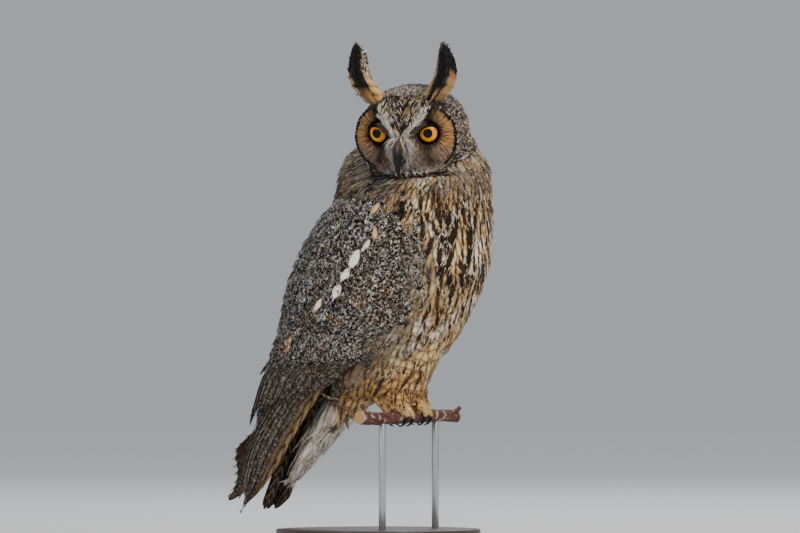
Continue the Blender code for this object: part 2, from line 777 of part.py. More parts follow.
def make_undertail(torso, material):
    spots = [world((0, forward, up)) for forward, up, wide, deep in UNDERTAIL]
    widths, depths = [row[2] for row in UNDERTAIL], [row[3] for row in UNDERTAIL]
    under = tube("undertail", spots, widths, depths, Vector((1, 0, 0)), material, 14)
    face = tail_place(0, 0, 0)
    normal = (tail_place(0, 0, 1) - face).normalized()
    body = bmesh.new()
    body.from_mesh(under.data)
    everything = body.verts[:] + body.edges[:] + body.faces[:]
    cut = bmesh.ops.bisect_plane(body, geom=everything, plane_co=face, plane_no=normal, clear_outer=True)
    edges = [thing for thing in cut["geom_cut"] if isinstance(thing, bmesh.types.BMEdge)]
    bmesh.ops.holes_fill(body, edges=edges)
    bmesh.ops.triangulate(body, faces=body.faces[:])
    body.to_mesh(under.data)
    body.free()
    make_room(under, torso)


def perch_middle(x):
    """The twig's centre line, which wanders a little and falls towards the owl's left."""
    up = PERCH_HEIGHT + 0.0012 * math.sin(x * 38) - 0.010 * x
    return Vector((x, PERCH_FORWARD + 0.0011 * math.sin(x * 47 + 1.0), up))


def make_perch(material):
    rings, sides = [], 10
    stops = 11
    for stop in range(stops):
        x = mix(-PERCH_LENGTH / 2, PERCH_LENGTH / 2, stop / (stops - 1))
        swell = 1 + 0.07 * math.sin(x * 83 + 0.6)
        middle, radius = perch_middle(x), PERCH_RADIUS * min(swell, 1.0)
        ring = []
        for side in range(sides):
            turn = math.tau * side / sides
            ring.append(world(middle + Vector((0, math.cos(turn) * radius, math.sin(turn) * radius))))
        rings.append(ring)
    perch = loft("perch", rings, material)
    stubs = []
    for x, lean, rise, length in STUBS:
        start = perch_middle(x)
        out = Vector((lean * 0.5, lean, rise)).normalized()
        path = [world(start + out * (length * step / 3 + 0.001)) for step in range(4)]
        across = Vector((1, 0.3, 0)).normalized()
        stubs.append(tube("stub", path, STUB_RADII, STUB_RADII, across, material, 8))
    return boolean(perch, stubs, "UNION")


def make_leg(side, word, torso, material):
    rings = []
    for height, x, forward, wide, deep in LEG:
        rings.append([world(p) for p in section((side * x, forward, height), wide, deep, sides=16)])
    make_room(loft(f"leg_{word}", rings, material), torso)


def round_perch(x, turn, reach):
    """A place beside the twig: turn 0 is ahead of it and a quarter turn is above it."""
    return perch_middle(x) + Vector((0, math.cos(turn) * reach, math.sin(turn) * reach))


def wrap(x, turns, reaches, sizes, sides, name, material):
    """A toe or claw bent round the twig. Each pair of values runs from its root to its end."""
    steps = 6
    path, widths = [], []
    for step in range(steps):
        t = step / (steps - 1)
        turn = math.radians(mix(*turns, t))
        path.append(world(round_perch(mix(*x, t), turn, mix(*reaches, t))))
        widths.append(mix(*sizes, t))
    return tube(name, path, widths, widths, Vector((1, 0, 0)), material, sides)


def make_foot(side, word, perch, leg_material, claw_material):
    """The ankle and four toes, two ahead of the twig and two behind, each with its claw."""
    home = side * FOOT_SPREAD
    rings = []
    for height, wide, deep in ANKLE:
        middle = (home, PERCH_FORWARD, height)
        rings.append([world(p) for p in section(middle, wide, deep, sides=14)])
    pieces, talons = [loft("ankle", rings, leg_material)], []
    reach = PERCH_RADIUS + TOE_RADIUS + GAP * 1.7
    for toe, (spread, start, end, point) in enumerate(TOES, 1):
        out = home + side * spread
        xs, sizes = (mix(home, out, 0.35), out), (TOE_RADIUS, TOE_RADIUS * 0.84)
        pieces.append(wrap(xs, (start, end), (reach, reach), sizes, 8, "toe", leg_material))
        reaches, sizes = (reach, PERCH_RADIUS + TALON_TIP_CLEARANCE), (TALON_RADIUS, TALON_TIP)
        name = f"talon_{word}_{toe}"
        talons.append(wrap((out, out), (end, point), reaches, sizes, 7, name, claw_material))
    foot = make_room(fuse(f"foot_{word}", pieces), perch)
    for talon in talons:
        make_room(talon, foot, perch)


def make_stand(perch, wood, steel):
    rings = []
    inside, top = BASE_RADIUS - BASE_EDGE, BASE_THICKNESS - BASE_EDGE
    profile = ((inside, 0.0), (BASE_RADIUS, BASE_EDGE), (BASE_RADIUS, top), (inside, BASE_THICKNESS))
    for radius, height in profile:
        ring = []
        for side in range(BASE_SIDES):
            turn = math.tau * side / BASE_SIDES
            ring.append(Vector((math.cos(turn) * radius, math.sin(turn) * radius, height)))
        rings.append(ring)
    loft("stand_base", rings, wood)
    for side, word in ((-1, "right"), (1, "left")):
        x = side * ROD_SPACING / 2
        foot = world((x, PERCH_FORWARD, 0))
        top = perch_middle(x).z - PERCH_RADIUS * 0.5
        rings = []
        for height in (BASE_THICKNESS + GAP, top):
            turns = [math.tau * step / 16 for step in range(16)]
            rings.append([Vector((foot.x + math.cos(turn) * ROD_RADIUS,
                                  foot.y + math.sin(turn) * ROD_RADIUS, height)) for turn in turns])
        make_room(loft(f"stand_rod_{word}", rings, steel), perch)


def main():
    clear_scene()
    plumage = finish("plumage", "6B5B4B", 0.85)
    horn = finish("bill and claws", "2A2624", 0.4)
    down = finish("feathered leg", "B98F5E", 0.9)
    head = make_head(plumage)
    torso = make_torso(plumage)
    make_neck(head, plumage)
    make_eyes(head, finish("eye", "E39A1C", 0.1))
    make_bill(head, horn)
    perch = make_perch(finish("twig", "6A4438", 0.8))
    make_tail(torso, plumage)
    make_undertail(torso, plumage)
    for side, word in ((-1, "right"), (1, "left")):
        make_tuft(side, word, head, plumage)
        make_wing(side, word, plumage)
        make_leg(side, word, torso, down)
        make_foot(side, word, perch, down, horn)
    make_stand(perch, finish("dark wood", "3A2A20", 0.5), finish("steel", "B0B0B0", 0.3, 1.0))


main()
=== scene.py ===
import math
from itertools import product
import bpy
import numpy as np
from mathutils import Matrix, Vector
from mathutils.bvhtree import BVHTree


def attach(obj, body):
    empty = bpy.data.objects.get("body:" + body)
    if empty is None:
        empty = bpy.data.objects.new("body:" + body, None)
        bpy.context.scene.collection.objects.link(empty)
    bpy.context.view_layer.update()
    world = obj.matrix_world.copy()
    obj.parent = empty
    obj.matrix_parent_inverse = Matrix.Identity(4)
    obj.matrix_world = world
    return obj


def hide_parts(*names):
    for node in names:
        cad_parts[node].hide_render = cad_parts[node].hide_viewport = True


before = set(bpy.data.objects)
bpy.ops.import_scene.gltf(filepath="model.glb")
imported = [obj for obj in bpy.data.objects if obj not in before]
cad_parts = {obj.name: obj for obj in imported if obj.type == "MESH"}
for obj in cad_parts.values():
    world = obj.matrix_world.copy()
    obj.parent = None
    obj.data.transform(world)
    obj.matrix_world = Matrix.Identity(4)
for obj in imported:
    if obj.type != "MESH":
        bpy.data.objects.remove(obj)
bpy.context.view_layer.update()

# A long eared owl at rest, life size. The owl faces -Y, its right side is -X, its head is turned.
# Places on the body are (x, forward, up) in metres, as in the solids.

body = {
    "feetForward": 0.033,
    # height, forward, half width, half depth, then the angles of a folded wing's front and back edges
    "coat": (
        (0.024, -0.163, 0.014, 0.005, 84, 160),
        (0.030, -0.1536, 0.019, 0.0153, 81, 166),
        (0.045, -0.1316, 0.025, 0.0354, 80, 171),
        (0.060, -0.1195, 0.030, 0.0455, 78, 174),
        (0.086, -0.1006, 0.035, 0.0574, 75, 176),
        (0.114, -0.0787, 0.040, 0.0735, 70, 176),
        (0.138, -0.0640, 0.049, 0.0785, 61, 175),
        (0.154, -0.0520, 0.056, 0.0762, 47, 174),
        (0.174, -0.0400, 0.064, 0.0770, 39, 174),
        (0.198, -0.0300, 0.069, 0.0803, 35.5, 173),
        (0.218, -0.0215, 0.070, 0.0812, 36, 168),
        (0.238, -0.0150, 0.068, 0.0782, 39, 154),
        (0.256, -0.0080, 0.065, 0.0730, 45, 140),
        (0.274, 0.0005, 0.0595, 0.0655, 62, 124),
        (0.286, 0.0020, 0.0545, 0.0644, 80, 112),
    ),
    "leftWingBack": 0.021,
    "leftWingRaise": 0.008,
    "leftTipBack": 0.0125,
    "tipDrift": 0.0009,
    "wingBendStart": 0.150,
    "wingEnd": 0.046,
    "wingStep": 0.012,  # how far above its end a wing's way is read, to run it straight on
}
head = {
    "place": (-0.012, 0.011, 0.334),
    "turn": math.radians(-73),
    "nod": math.radians(11),
    "discHalfWidth": 0.044,
    "discHalfHeight": 0.031,
    "discUp": -0.002,
    "discCurve": 2.25,  # 2 gives an oval, more gives fuller corners
    "skull": (0.047, 0.047, 0.041),  # half width, half depth and half height
}
eyes = {
    "spread": 0.020,
    "up": 0.0024,
    "forward": 0.0222,
    "radius": 0.0105,
    "outward": math.radians(8),
    "iris": 0.0074,
    "pupil": 0.0038,
    "lidRadius": 0.0079,
    "lidThick": 0.0008,
    "frown": 0.34,  # the share of the eye's radius that the upper lid's middle covers
    "bulge": 0.0008,  # how far the cornea stands out
    "discOff": 0.0205,  # where the disc's feathers fan out from, sideways
    # "top" colours the spokes, and as painted shade it also darkens the iris towards its top, under the brow
    "inner": "F0A81E", "outer": "D87A12", "top": "B9590E", "limbus": "120B07", "black": "030303",
}


# small helpers

def eased(share):
    share = np.clip(share, 0.0, 1.0)
    return share * share * (3 - 2 * share)


def mix(start, end, share):
    return start + (end - start) * share


def toLinear(code):
    parts = np.array([int(code[i : i + 2], 16) / 255 for i in (0, 2, 4)])
    return np.where(parts <= 0.04045, parts / 12.92, ((parts + 0.055) / 1.055) ** 2.4)


def unit(v):
    return v / np.maximum(np.linalg.norm(v, axis=-1, keepdims=True), 1e-9)


def dot(a, b):
    return np.sum(a * b, axis=-1, keepdims=True)


def readSmoothly(rows, place):
    # sizes given at a few places along a body, read smoothly between them
    rows = np.asarray(rows, float)
    places = rows[:, 0]
    slopes = np.gradient(rows, places, axis=0)
    place = np.clip(place, places[0], places[-1])
    i = np.clip(np.searchsorted(places, place, side="right"), 1, len(places) - 1)
    span = (places[i] - places[i - 1])[..., None]
    t = (place[..., None] - places[i - 1][..., None]) / span
    level = mix(rows[i - 1], rows[i], t * t * (3 - 2 * t))
    return (level + slopes[i - 1] * span * t * (1 - t) ** 2 + slopes[i] * span * t * t * (t - 1))[..., 1:]


def toWorld(x, forward, up):
    return np.stack([x, -(forward + body["feetForward"]), up], -1)


def coatPlace(height, angle, depth):
    # on the outline of the plumage, or depth below it; angle 0 is the breast
    rows = readSmoothly(body["coat"], height)
    forward, wide, deep = rows[..., 0], rows[..., 1], rows[..., 2]
    out = unit(np.stack([np.sin(angle) * deep, np.cos(angle) * wide], -1))
    return (np.sin(angle) * wide - out[..., 0] * depth,
            forward + np.cos(angle) * deep - out[..., 1] * depth)


def onWing(side, height, share, depth):
    # on a folded wing; below the body it runs straight on towards its tip
    height, share, depth = np.broadcast_arrays(np.asarray(height, float), share, depth)
    low, step = body["wingEnd"], body["wingStep"]
    if height.min() < low:
        beyond = np.minimum(height - low, 0.0)[..., None] / step
        last = onWing(side, np.maximum(height, low), share, depth)
        drift = np.array([0.0, body["tipDrift"], 0.0]) * beyond**2
        return last + (onWing(side, np.maximum(height, low) + step, share, depth) - last) * beyond + drift
    rows = readSmoothly(body["coat"], height)
    angle = np.radians(mix(rows[..., 3], rows[..., 4], share))
    x, forward = coatPlace(height, angle, depth)
    if side > 0:  # the left wing's tip lies a little higher and further back
        start = body["wingBendStart"]
        slide = eased((start - height) / (start - body["coat"][0][0]))
        tip = eased((0.100 - height) / 0.040) - 0.35 * eased((0.055 - height) / 0.03)
        forward = forward - body["leftWingBack"] * slide - body["leftTipBack"] * tip
        height = height + body["leftWingRaise"] * slide
    return toWorld(x * side, forward, height)


headTurn = np.array(Matrix.Rotation(head["turn"], 3, "Z") @ Matrix.Rotation(head["nod"], 3, "X"))
headMiddle = toWorld(*np.array(head["place"])[:, None])[0]


def onHead(sideways, forward, up):
    local = np.stack(np.broadcast_arrays(np.asarray(sideways, float), -np.asarray(forward, float), up), -1)
    return local @ headTurn.T + headMiddle


def toHead(points):
    local = (points - headMiddle) @ headTurn
    return local[:, 0], -local[:, 1], local[:, 2]


def headWay(sideways, forward, up):
    return np.stack(np.broadcast_arrays(sideways, -np.asarray(forward, float), up), -1) @ headTurn.T


def deselect():
    for thing in bpy.context.selected_objects:
        thing.select_set(False)


def activate(thing):
    deselect()
    thing.select_set(True)
    bpy.context.view_layer.objects.active = thing


def newObject(name, data):
    made = bpy.data.objects.new(name, data)
    bpy.context.collection.objects.link(made)
    return made


def addModifier(thing, kind, **settings):
    made = thing.modifiers.new(kind.lower(), kind)
    for key, value in settings.items():
        setattr(made, key, value)


def applyAll(thing):
    activate(thing)
    for modifier in list(thing.modifiers):
        bpy.ops.object.modifier_apply(modifier=modifier.name)


def recalculate(thing, merge=False):
    # faces outward, after the doubles are merged where the mesh is loose triangles
    activate(thing)
    bpy.ops.object.mode_set(mode="EDIT")
    bpy.ops.mesh.select_all(action="SELECT")
    if merge:
        bpy.ops.mesh.remove_doubles(threshold=0.00001)
    bpy.ops.mesh.normals_make_consistent(inside=False)
    bpy.ops.object.mode_set(mode="OBJECT")


def toOrigin(thing):
    activate(thing)
    bpy.ops.object.transform_apply(location=True, rotation=True, scale=True)


def smoothShade(thing, angle=None):
    activate(thing)
    if angle is None:
        bpy.ops.object.shade_smooth()
    else:
        bpy.ops.object.shade_smooth_by_angle(angle=math.radians(angle))


def copyNodes(name, nodes):
    # one object from copies of the solids, with their loose triangles merged
    deselect()
    for node in nodes:
        copy = newObject(name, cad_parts[node].data.copy())
        copy.select_set(True)
    bpy.context.view_layer.objects.active = copy
    if len(nodes) > 1:
        bpy.ops.object.join()
    recalculate(copy, merge=True)
    copy.data.materials.clear()
    copy.name = name
    return copy


def dress(thing, slotName, material, *nodes):
    thing.data.materials.clear()
    thing.data.materials.append(material)
    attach(thing, "root")
    if nodes:
        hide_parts(*nodes)


# materials

def addNode(tree, kind, links=(), out=0, **settings):
    # a node with its settings; links give each input a value or another node's output
    node = tree.nodes.new("ShaderNode" + kind)
    for key, value in settings.items():
        setattr(node, key, value)
    for key, value in links.items() if isinstance(links, dict) else enumerate(links):
        if isinstance(value, bpy.types.NodeSocket):
            tree.links.new(value, node.inputs[key])
        else:
            node.inputs[key].default_value = value
    return node.outputs if out is None else node.outputs[out]


def newMaterial(name, roughness, **sockets):
    material = bpy.data.materials.new(name)
    material.use_nodes = True
    tree = material.node_tree
    shader = tree.nodes["Principled BSDF"]
    shader.inputs["Roughness"].default_value = roughness
    for key, value in sockets.items():
        shader.inputs[key.replace("_", " ")].default_value = value
    return material, tree, shader


def colour(code):
    return (*toLinear(code), 1.0)


plumageLook = {
    "wobbleSize": 3.2,  # mm, how coarsely the marks' edges wander
    "speckleSize": 2.4,  # mm, how the pale scribbles on the upper side wander
    "lineWidth": 0.050,  # how wide a scribble is, in the noise's own values
    "freckleSize": 0.55,  # mm
    "barbSpacing": 0.9,  # mm; real barbs are about 0.3 mm apart, too fine to show
}


def featherMaterial(name):
    # Keratin barbs: dull, with a faint sheen at the edges. Each feather carries its own
    # ground, mark and pale colours, and how far its shaft streak, bars and scribbles go.
    material, tree, shader = newMaterial(name, 0.78, Sheen_Weight=0.05, Sheen_Roughness=0.5,
                                         Specular_IOR_Level=0.14)
    look = plumageLook
    place = addNode(tree, "TexCoord", out="Object")
    stored = (("vane", "Vector"), ("drawn", "Vector"), ("ground", "Color"), ("mark", "Color"),
              ("pale", "Color"), ("barb", "Fac"), ("bands", "Fac"))
    vane, drawn, ground, mark, pale, barb, bands = [
        addNode(tree, "Attribute", out=out, attribute_name=word) for word, out in stored]
    across, along, seed = addNode(tree, "SeparateXYZ", [vane], None)
    streak, bars, freckle = addNode(tree, "SeparateXYZ", [drawn], None)
    noises = []
    for size, detail, rough, twist in (("wobbleSize", 3.0, 0.65, 0.0), ("freckleSize", 2.0, 0.6, 0.0),
                                       ("speckleSize", 1.5, 0.6, 0.8)):
        noise = addNode(tree, "TexNoise", {"Vector": place, "Scale": 1000 / look[size], "Detail": detail,
                                           "Roughness": rough, "Distortion": twist})
        noises.append(addNode(tree, "Math", [noise, 0.5], operation="SUBTRACT"))
    wobble, fine, speck = noises
    off = addNode(tree, "Math", [across], operation="ABSOLUTE")
    # shaft streak: a dark middle that widens towards the tip
    inside = addNode(tree, "Math", [along, 0.45, 0.55], operation="MULTIPLY_ADD")
    inside = addNode(tree, "Math", [streak, inside], operation="MULTIPLY")
    inside = addNode(tree, "Math", [inside, off], operation="SUBTRACT")
    inside = addNode(tree, "Math", [wobble, 0.85, inside], operation="MULTIPLY_ADD")
    inside = addNode(tree, "Math", [fine, 0.25, inside], operation="MULTIPLY_ADD")
    inside = addNode(tree, "Math", [inside, 2.8, 0.15], operation="MULTIPLY_ADD", use_clamp=True)
    present = addNode(tree, "Math", [streak, 12.0], operation="MULTIPLY", use_clamp=True)
    streakMask = addNode(tree, "Math", [inside, present], operation="MULTIPLY")
    # cross bars, bent back from the shaft
    bend = addNode(tree, "Math", [off, -0.09, along], operation="MULTIPLY_ADD")
    turns = addNode(tree, "Math", [bands, 6.28], operation="MULTIPLY")
    beat = addNode(tree, "Math", [bend, turns], operation="MULTIPLY")
    beat = addNode(tree, "Math", [seed, 6.28, beat], operation="MULTIPLY_ADD")
    beat = addNode(tree, "Math", [wobble, 4.5, beat], operation="MULTIPLY_ADD")
    wave = addNode(tree, "Math", [beat], operation="SINE")
    wave = addNode(tree, "Math", [fine, 1.3, wave], operation="MULTIPLY_ADD")
    wave = addNode(tree, "Math", [wave, 0.15], operation="SUBTRACT")
    wave = addNode(tree, "Math", [wave, 1.6], operation="MULTIPLY", use_clamp=True)
    barMask = addNode(tree, "Math", [wave, bars], operation="MULTIPLY")
    dark = addNode(tree, "Math", [streakMask, barMask], operation="MAXIMUM")
    # pale scribbles: thin wavering lines, broken here and there
    away = addNode(tree, "Math", [speck], operation="ABSOLUTE")
    line = addNode(tree, "Math", [look["lineWidth"], away], operation="SUBTRACT")
    line = addNode(tree, "Math", [line, 36.0], operation="MULTIPLY", use_clamp=True)
    whole = addNode(tree, "Math", [wobble, 7.0, 0.85], operation="MULTIPLY_ADD", use_clamp=True)
    line = addNode(tree, "Math", [line, whole], operation="MULTIPLY")
    light = addNode(tree, "Math", [line, freckle], operation="MULTIPLY")
    surface = addNode(tree, "Mix", {0: dark, 6: ground, 7: mark}, 2, data_type="RGBA")
    surface = addNode(tree, "Mix", {0: light, 6: surface, 7: pale}, 2, data_type="RGBA")
    # every feather is a little lighter or darker, and its barbs vary
    ripple = addNode(tree, "Math", [barb, math.tau / look["barbSpacing"]], operation="MULTIPLY")
    ripple = addNode(tree, "Math", [ripple], operation="SINE")
    shade = addNode(tree, "Math", [seed, 0.30, 0.86], operation="MULTIPLY_ADD")
    shade = addNode(tree, "Math", [fine, 0.42, shade], operation="MULTIPLY_ADD")
    shade = addNode(tree, "Math", [ripple, 0.05, shade], operation="MULTIPLY_ADD")
    gain = addNode(tree, "CombineColor", [shade, shade, shade])
    surface = addNode(tree, "Mix", {0: 1.0, 6: surface, 7: gain}, 2, data_type="RGBA", blend_type="MULTIPLY")
    tree.links.new(surface, shader.inputs["Base Color"])
    height = addNode(tree, "Math", [ripple, 0.35], operation="MULTIPLY")
    height = addNode(tree, "Math", [fine, 1.2, height], operation="MULTIPLY_ADD")
    bump = addNode(tree, "Bump", {"Strength": 0.35, "Distance": 0.0003, "Height": height})
    tree.links.new(bump, shader.inputs["Normal"])
    return material


# the form under the feathers

print("form under the feathers")

fleshNodes = ["head", "neck", "torso", "undertail", "leg_left", "leg_right", "foot_left", "foot_right"]


def wingPad(side):
    # fills the bed under a folded wing, down to where the flight feathers leave the arm
    heights = np.linspace(0.2835, 0.150, 18)
    shares = np.linspace(0.015, 0.985, 24)
    grid = np.meshgrid(heights, shares, indexing="ij")
    over = onWing(side, *grid, 0.0)
    under = onWing(side, *grid, 0.0135)
    rows, wide = len(heights), len(shares)
    points = np.concatenate([over.reshape(-1, 3), under.reshape(-1, 3)])
    lift = rows * wide
    faces = []
    for row in range(rows - 1):
        for column in range(wide - 1):
            a = row * wide + column
            faces.append((a, a + 1, a + wide + 1, a + wide))
            faces.append((lift + a, lift + a + wide, lift + a + wide + 1, lift + a + 1))
    border = list(range(wide - 1)) + [row * wide + wide - 1 for row in range(rows - 1)]
    border += [(rows - 1) * wide + column for column in range(wide - 1, 0, -1)]
    border += [row * wide for row in range(rows - 1, 0, -1)]
    for i, a in enumerate(border):
        b = border[(i + 1) % len(border)]
        faces.append((a, b, lift + b, lift + a))
    mesh = bpy.data.meshes.new("pad")
    mesh.from_pydata([tuple(p) for p in points], [], faces)
    pad = newObject("pad", mesh)
    recalculate(pad)
    return pad


def makeForm(name, nodes, voxel, rounds):
    form = copyNodes(name, nodes)
    pads = [wingPad(-1), wingPad(1)]
    activate(form)
    for pad in pads:
        pad.select_set(True)
    bpy.ops.object.join()
    addModifier(form, "REMESH", mode="VOXEL", voxel_size=voxel)
    addModifier(form, "SMOOTH", factor=0.5, iterations=rounds)
    applyAll(form)
    return form


def meshPoints(thing, field="co"):
    points = np.empty(len(thing.data.vertices) * 3)
    thing.data.vertices.foreach_get(field, points)
    return points.reshape(-1, 3)


def meshCorners(thing):
    mesh = thing.data
    mesh.calc_loop_triangles()
    corners = np.empty(len(mesh.loop_triangles) * 3, int)
    mesh.loop_triangles.foreach_get("vertices", corners)
    return corners.reshape(-1, 3)


def storeOnPoints(mesh, name, values):
    # a number, vector or colour for each point, which the materials read by its name
    size = 1 if values.ndim == 1 else values.shape[1]
    kind, field = {1: ("FLOAT", "value"), 3: ("FLOAT_VECTOR", "vector"), 4: ("FLOAT_COLOR", "color")}[size]
    mesh.attributes.new(name, kind, "POINT").data.foreach_set(field, values.reshape(-1))


form = makeForm("form", fleshNodes, 0.0019, 9)
formPoints, formCorners, formNormals = meshPoints(form), meshCorners(form), meshPoints(form, "normal")
formTree = BVHTree.FromPolygons(formPoints.tolist(), formCorners.tolist(), all_triangles=True)
cornerNormals = unit(formNormals[formCorners].mean(axis=1))


def settle(points):
    # the nearest place on the form to each point, and the smooth normal there
    flat = points.reshape(-1, 3)
    place = np.empty_like(flat)
    index = np.empty(len(flat), int)
    find = formTree.find_nearest
    for i, point in enumerate(flat.tolist()):
        spot, _, face, _ = find(point)
        place[i] = spot
        index[i] = face
    return place.reshape(points.shape), cornerNormals[index].reshape(points.shape)


def scatter(keep, gap, seed, tries=7.0):
    # places spread evenly over the form where keep says so
    draw = np.random.default_rng(seed)
    a, b, c = (formPoints[formCorners[:, k]] for k in range(3))
    area = np.linalg.norm(np.cross(b - a, c - a), axis=1) / 2 * keep((a + b + c) / 3)
    face = draw.choice(len(area), int(tries * np.sum(area / gap**2)), p=area / area.sum())
    u, v = draw.random(len(face)), draw.random(len(face))
    flip = u + v > 1
    u[flip], v[flip] = 1 - u[flip], 1 - v[flip]
    points = a[face] + (b - a)[face] * u[:, None] + (c - a)[face] * v[:, None]
    cells = {}
    chosen = []
    around = list(product((-1, 0, 1), repeat=3))
    keys = np.floor(points / gap).astype(int).tolist()
    for i, ((x, y, z), (m, n, o)) in enumerate(zip(points.tolist(), keys)):
        near = (spot for p, q, r in around for spot in cells.get((m + p, n + q, o + r), ()))
        if all((p - x) ** 2 + (q - y) ** 2 + (r - z) ** 2 >= gap**2 for p, q, r in near):
            cells.setdefault((m, n, o), []).append((x, y, z))
            chosen.append(i)
    return points[chosen], cornerNormals[face[chosen]]


# feathers from arrays

def featherGrid(rows, columns):
    # faces of a closed feather: a top and an under side that share their edges and tip
    top = np.arange(rows * columns).reshape(rows, columns)
    under = top.copy()
    inner = np.arange((rows - 1) * (columns - 2)).reshape(rows - 1, columns - 2) + rows * columns
    under[:-1, 1:-1] = inner
    faces = []
    for r in range(rows - 1):
        for c in range(columns - 1):
            faces.append((top[r, c], top[r + 1, c], top[r + 1, c + 1], top[r, c + 1]))
            faces.append((under[r, c], under[r, c + 1], under[r + 1, c + 1], under[r + 1, c]))
    root = list(top[0]) + list(under[0, -2:0:-1])
    return [np.array(faces), np.array([root])]


def featherShares(count, along, columns):
    # each feather's shares along and across, on a grid of its own
    s = np.tile(np.array(along, float)[None, :, None], (count, 1, len(columns)))
    c = np.tile(np.array(columns, float)[None, None, :], (count, len(along), 1))
    return s, c


def chanceFor(draw, s):
    # one random value for each feather, on all its places
    return np.tile(draw.random((len(s), 1, 1)), (1,) + s.shape[1:])


def gatherFeathers(places, thickness, normals, vane, lengths, widths):
    # places and normals: feathers x rows x columns x 3
    count = len(places)
    under = places[:, :-1, 1:-1] - normals[:, :-1, 1:-1] * thickness
    points = np.concatenate([places.reshape(count, -1, 3), under.reshape(count, -1, 3)], 1)
    tags = np.concatenate([vane.reshape(count, -1, 3), vane[:, :-1, 1:-1].reshape(count, -1, 3)], 1)
    barb = tags[..., 1] * lengths[:, None] * 600 - np.abs(tags[..., 0]) * widths[:, None] * 400
    return points, tags, barb


def spreadOut(value, count, size):
    # a value for each feather, or already one for each of its points
    if value.shape[:2] == (count, size):
        return value.reshape(count * size, *value.shape[2:])
    return np.repeat(value, size, axis=0)


def storeLook(mesh, tags, look, barb):
    # what the plumage material reads on each point
    storeOnPoints(mesh, "vane", tags)
    storeOnPoints(mesh, "drawn", look["drawn"])
    for key in ("ground", "mark", "pale"):
        storeOnPoints(mesh, key, np.concatenate([look[key], np.ones((len(tags), 1))], 1))
    storeOnPoints(mesh, "barb", barb)
    storeOnPoints(mesh, "bands", look["bands"])


def makeCoat(name, sets, unwrap, slotName, nodes=()):
    # joins sets of feathers in one mesh with their colours, patterns and bake map
    points, faces, tags, barbs, fields, maps = [], [], [], [], [], []
    start = 0
    for one in sets:
        count, size = one["points"].shape[:2]
        step = (np.arange(count) * size)[:, None, None] + start
        faces += [(grid[None] + step).reshape(-1, grid.shape[1]) for grid in one["faces"]]
        points.append(one["points"].reshape(-1, 3))
        tags.append(one["tags"].reshape(-1, 3))
        barbs.append(one["barb"].reshape(-1))
        fields.append({key: spreadOut(value, count, size) for key, value in one["look"].items()})
        corner = unwrap(one["roots"])
        patch = np.stack([one["tags"][..., 0] * 0.0015, (one["tags"][..., 1] - 0.5) * 0.003], -1)
        maps.append((corner[:, None] + patch).reshape(-1, 2))
        start += count * size
    points = np.concatenate(points)
    loops = np.concatenate([grid.reshape(-1) for grid in faces])
    sizes = np.concatenate([np.full(len(grid), grid.shape[1]) for grid in faces])
    mesh = bpy.data.meshes.new(name)
    mesh.vertices.add(len(points))
    mesh.vertices.foreach_set("co", points.reshape(-1))
    mesh.loops.add(len(loops))
    mesh.loops.foreach_set("vertex_index", loops)
    mesh.polygons.add(len(sizes))
    mesh.polygons.foreach_set("loop_start", np.concatenate([[0], np.cumsum(sizes)[:-1]]))
    mesh.polygons.foreach_set("loop_total", sizes)
    mesh.polygons.foreach_set("use_smooth", np.ones(len(sizes), bool))
    mesh.update(calc_edges=True)
    storeLook(mesh, np.concatenate(tags), {key: np.concatenate([f[key] for f in fields]) for key in fields[0]},
              np.concatenate(barbs))
    flat = np.clip(np.concatenate(maps)[loops], 0.0005, 0.9995)
    mesh.uv_layers.new(name="OFBake").data.foreach_set("uv", flat.reshape(-1))
    dress(newObject(name, mesh), slotName, feathers, *nodes)
    mesh.calc_loop_triangles()
    print(f"  {name}: {len(mesh.loop_triangles)} triangles")


def bodyFeathers(roots, normals, lies, lengths, widths, look, shape):
    # small feathers that follow the form: sunk at the root, lifted at the tip, ragged at the end
    count = len(roots)
    draw = np.random.default_rng(shape["seed"])
    ahead = unit(lies - normals * dot(lies, normals))
    turn = draw.normal(0, shape["stray"], (count, 1))
    side = np.cross(normals, ahead)
    ahead = unit(ahead + side * turn)
    side = np.cross(normals, ahead)
    rowsAlong, outline, columns = shape["along"], shape["outline"], shape["columns"]
    rows, wide = len(rowsAlong), len(columns)
    s, c = featherShares(count, rowsAlong, columns)
    half = np.array(outline)[None, :, None] * (1 + draw.normal(0, 0.06, (count, rows, 1)))
    s[:, -1] = 1 - shape["round"] * c[:, -1] ** 2 + draw.uniform(-1, 0.35, (count, wide)) * shape["ragged"]
    s[:, -2] -= 0.05 * c[:, -2] ** 2
    sway = draw.normal(0, 0.10, (count, 1, 1)) * s**2
    beside = c * half * widths[:, None, None] / 2 + sway * lengths[:, None, None]
    flat = (roots[:, None, None] + ahead[:, None, None] * (s * lengths[:, None, None])[..., None]
            + side[:, None, None] * beside[..., None])
    place, up = settle(flat)
    rise = mix(-shape["sink"], shape["proud"], s**shape["rise"]) - shape["cup"] * c**2 * half
    rise = rise + draw.uniform(-1, 1, (count, 1, 1)) * shape["loose"] * s
    places = place + up * rise[..., None]
    vane = np.stack([c, s, chanceFor(draw, s)], -1)
    points, tags, barb = gatherFeathers(places, shape["thick"], up, vane, lengths, widths)
    return {"points": points, "tags": tags, "barb": barb, "look": look, "roots": roots,
            "faces": featherGrid(rows, wide), "places": places, "up": up, "vane": vane}


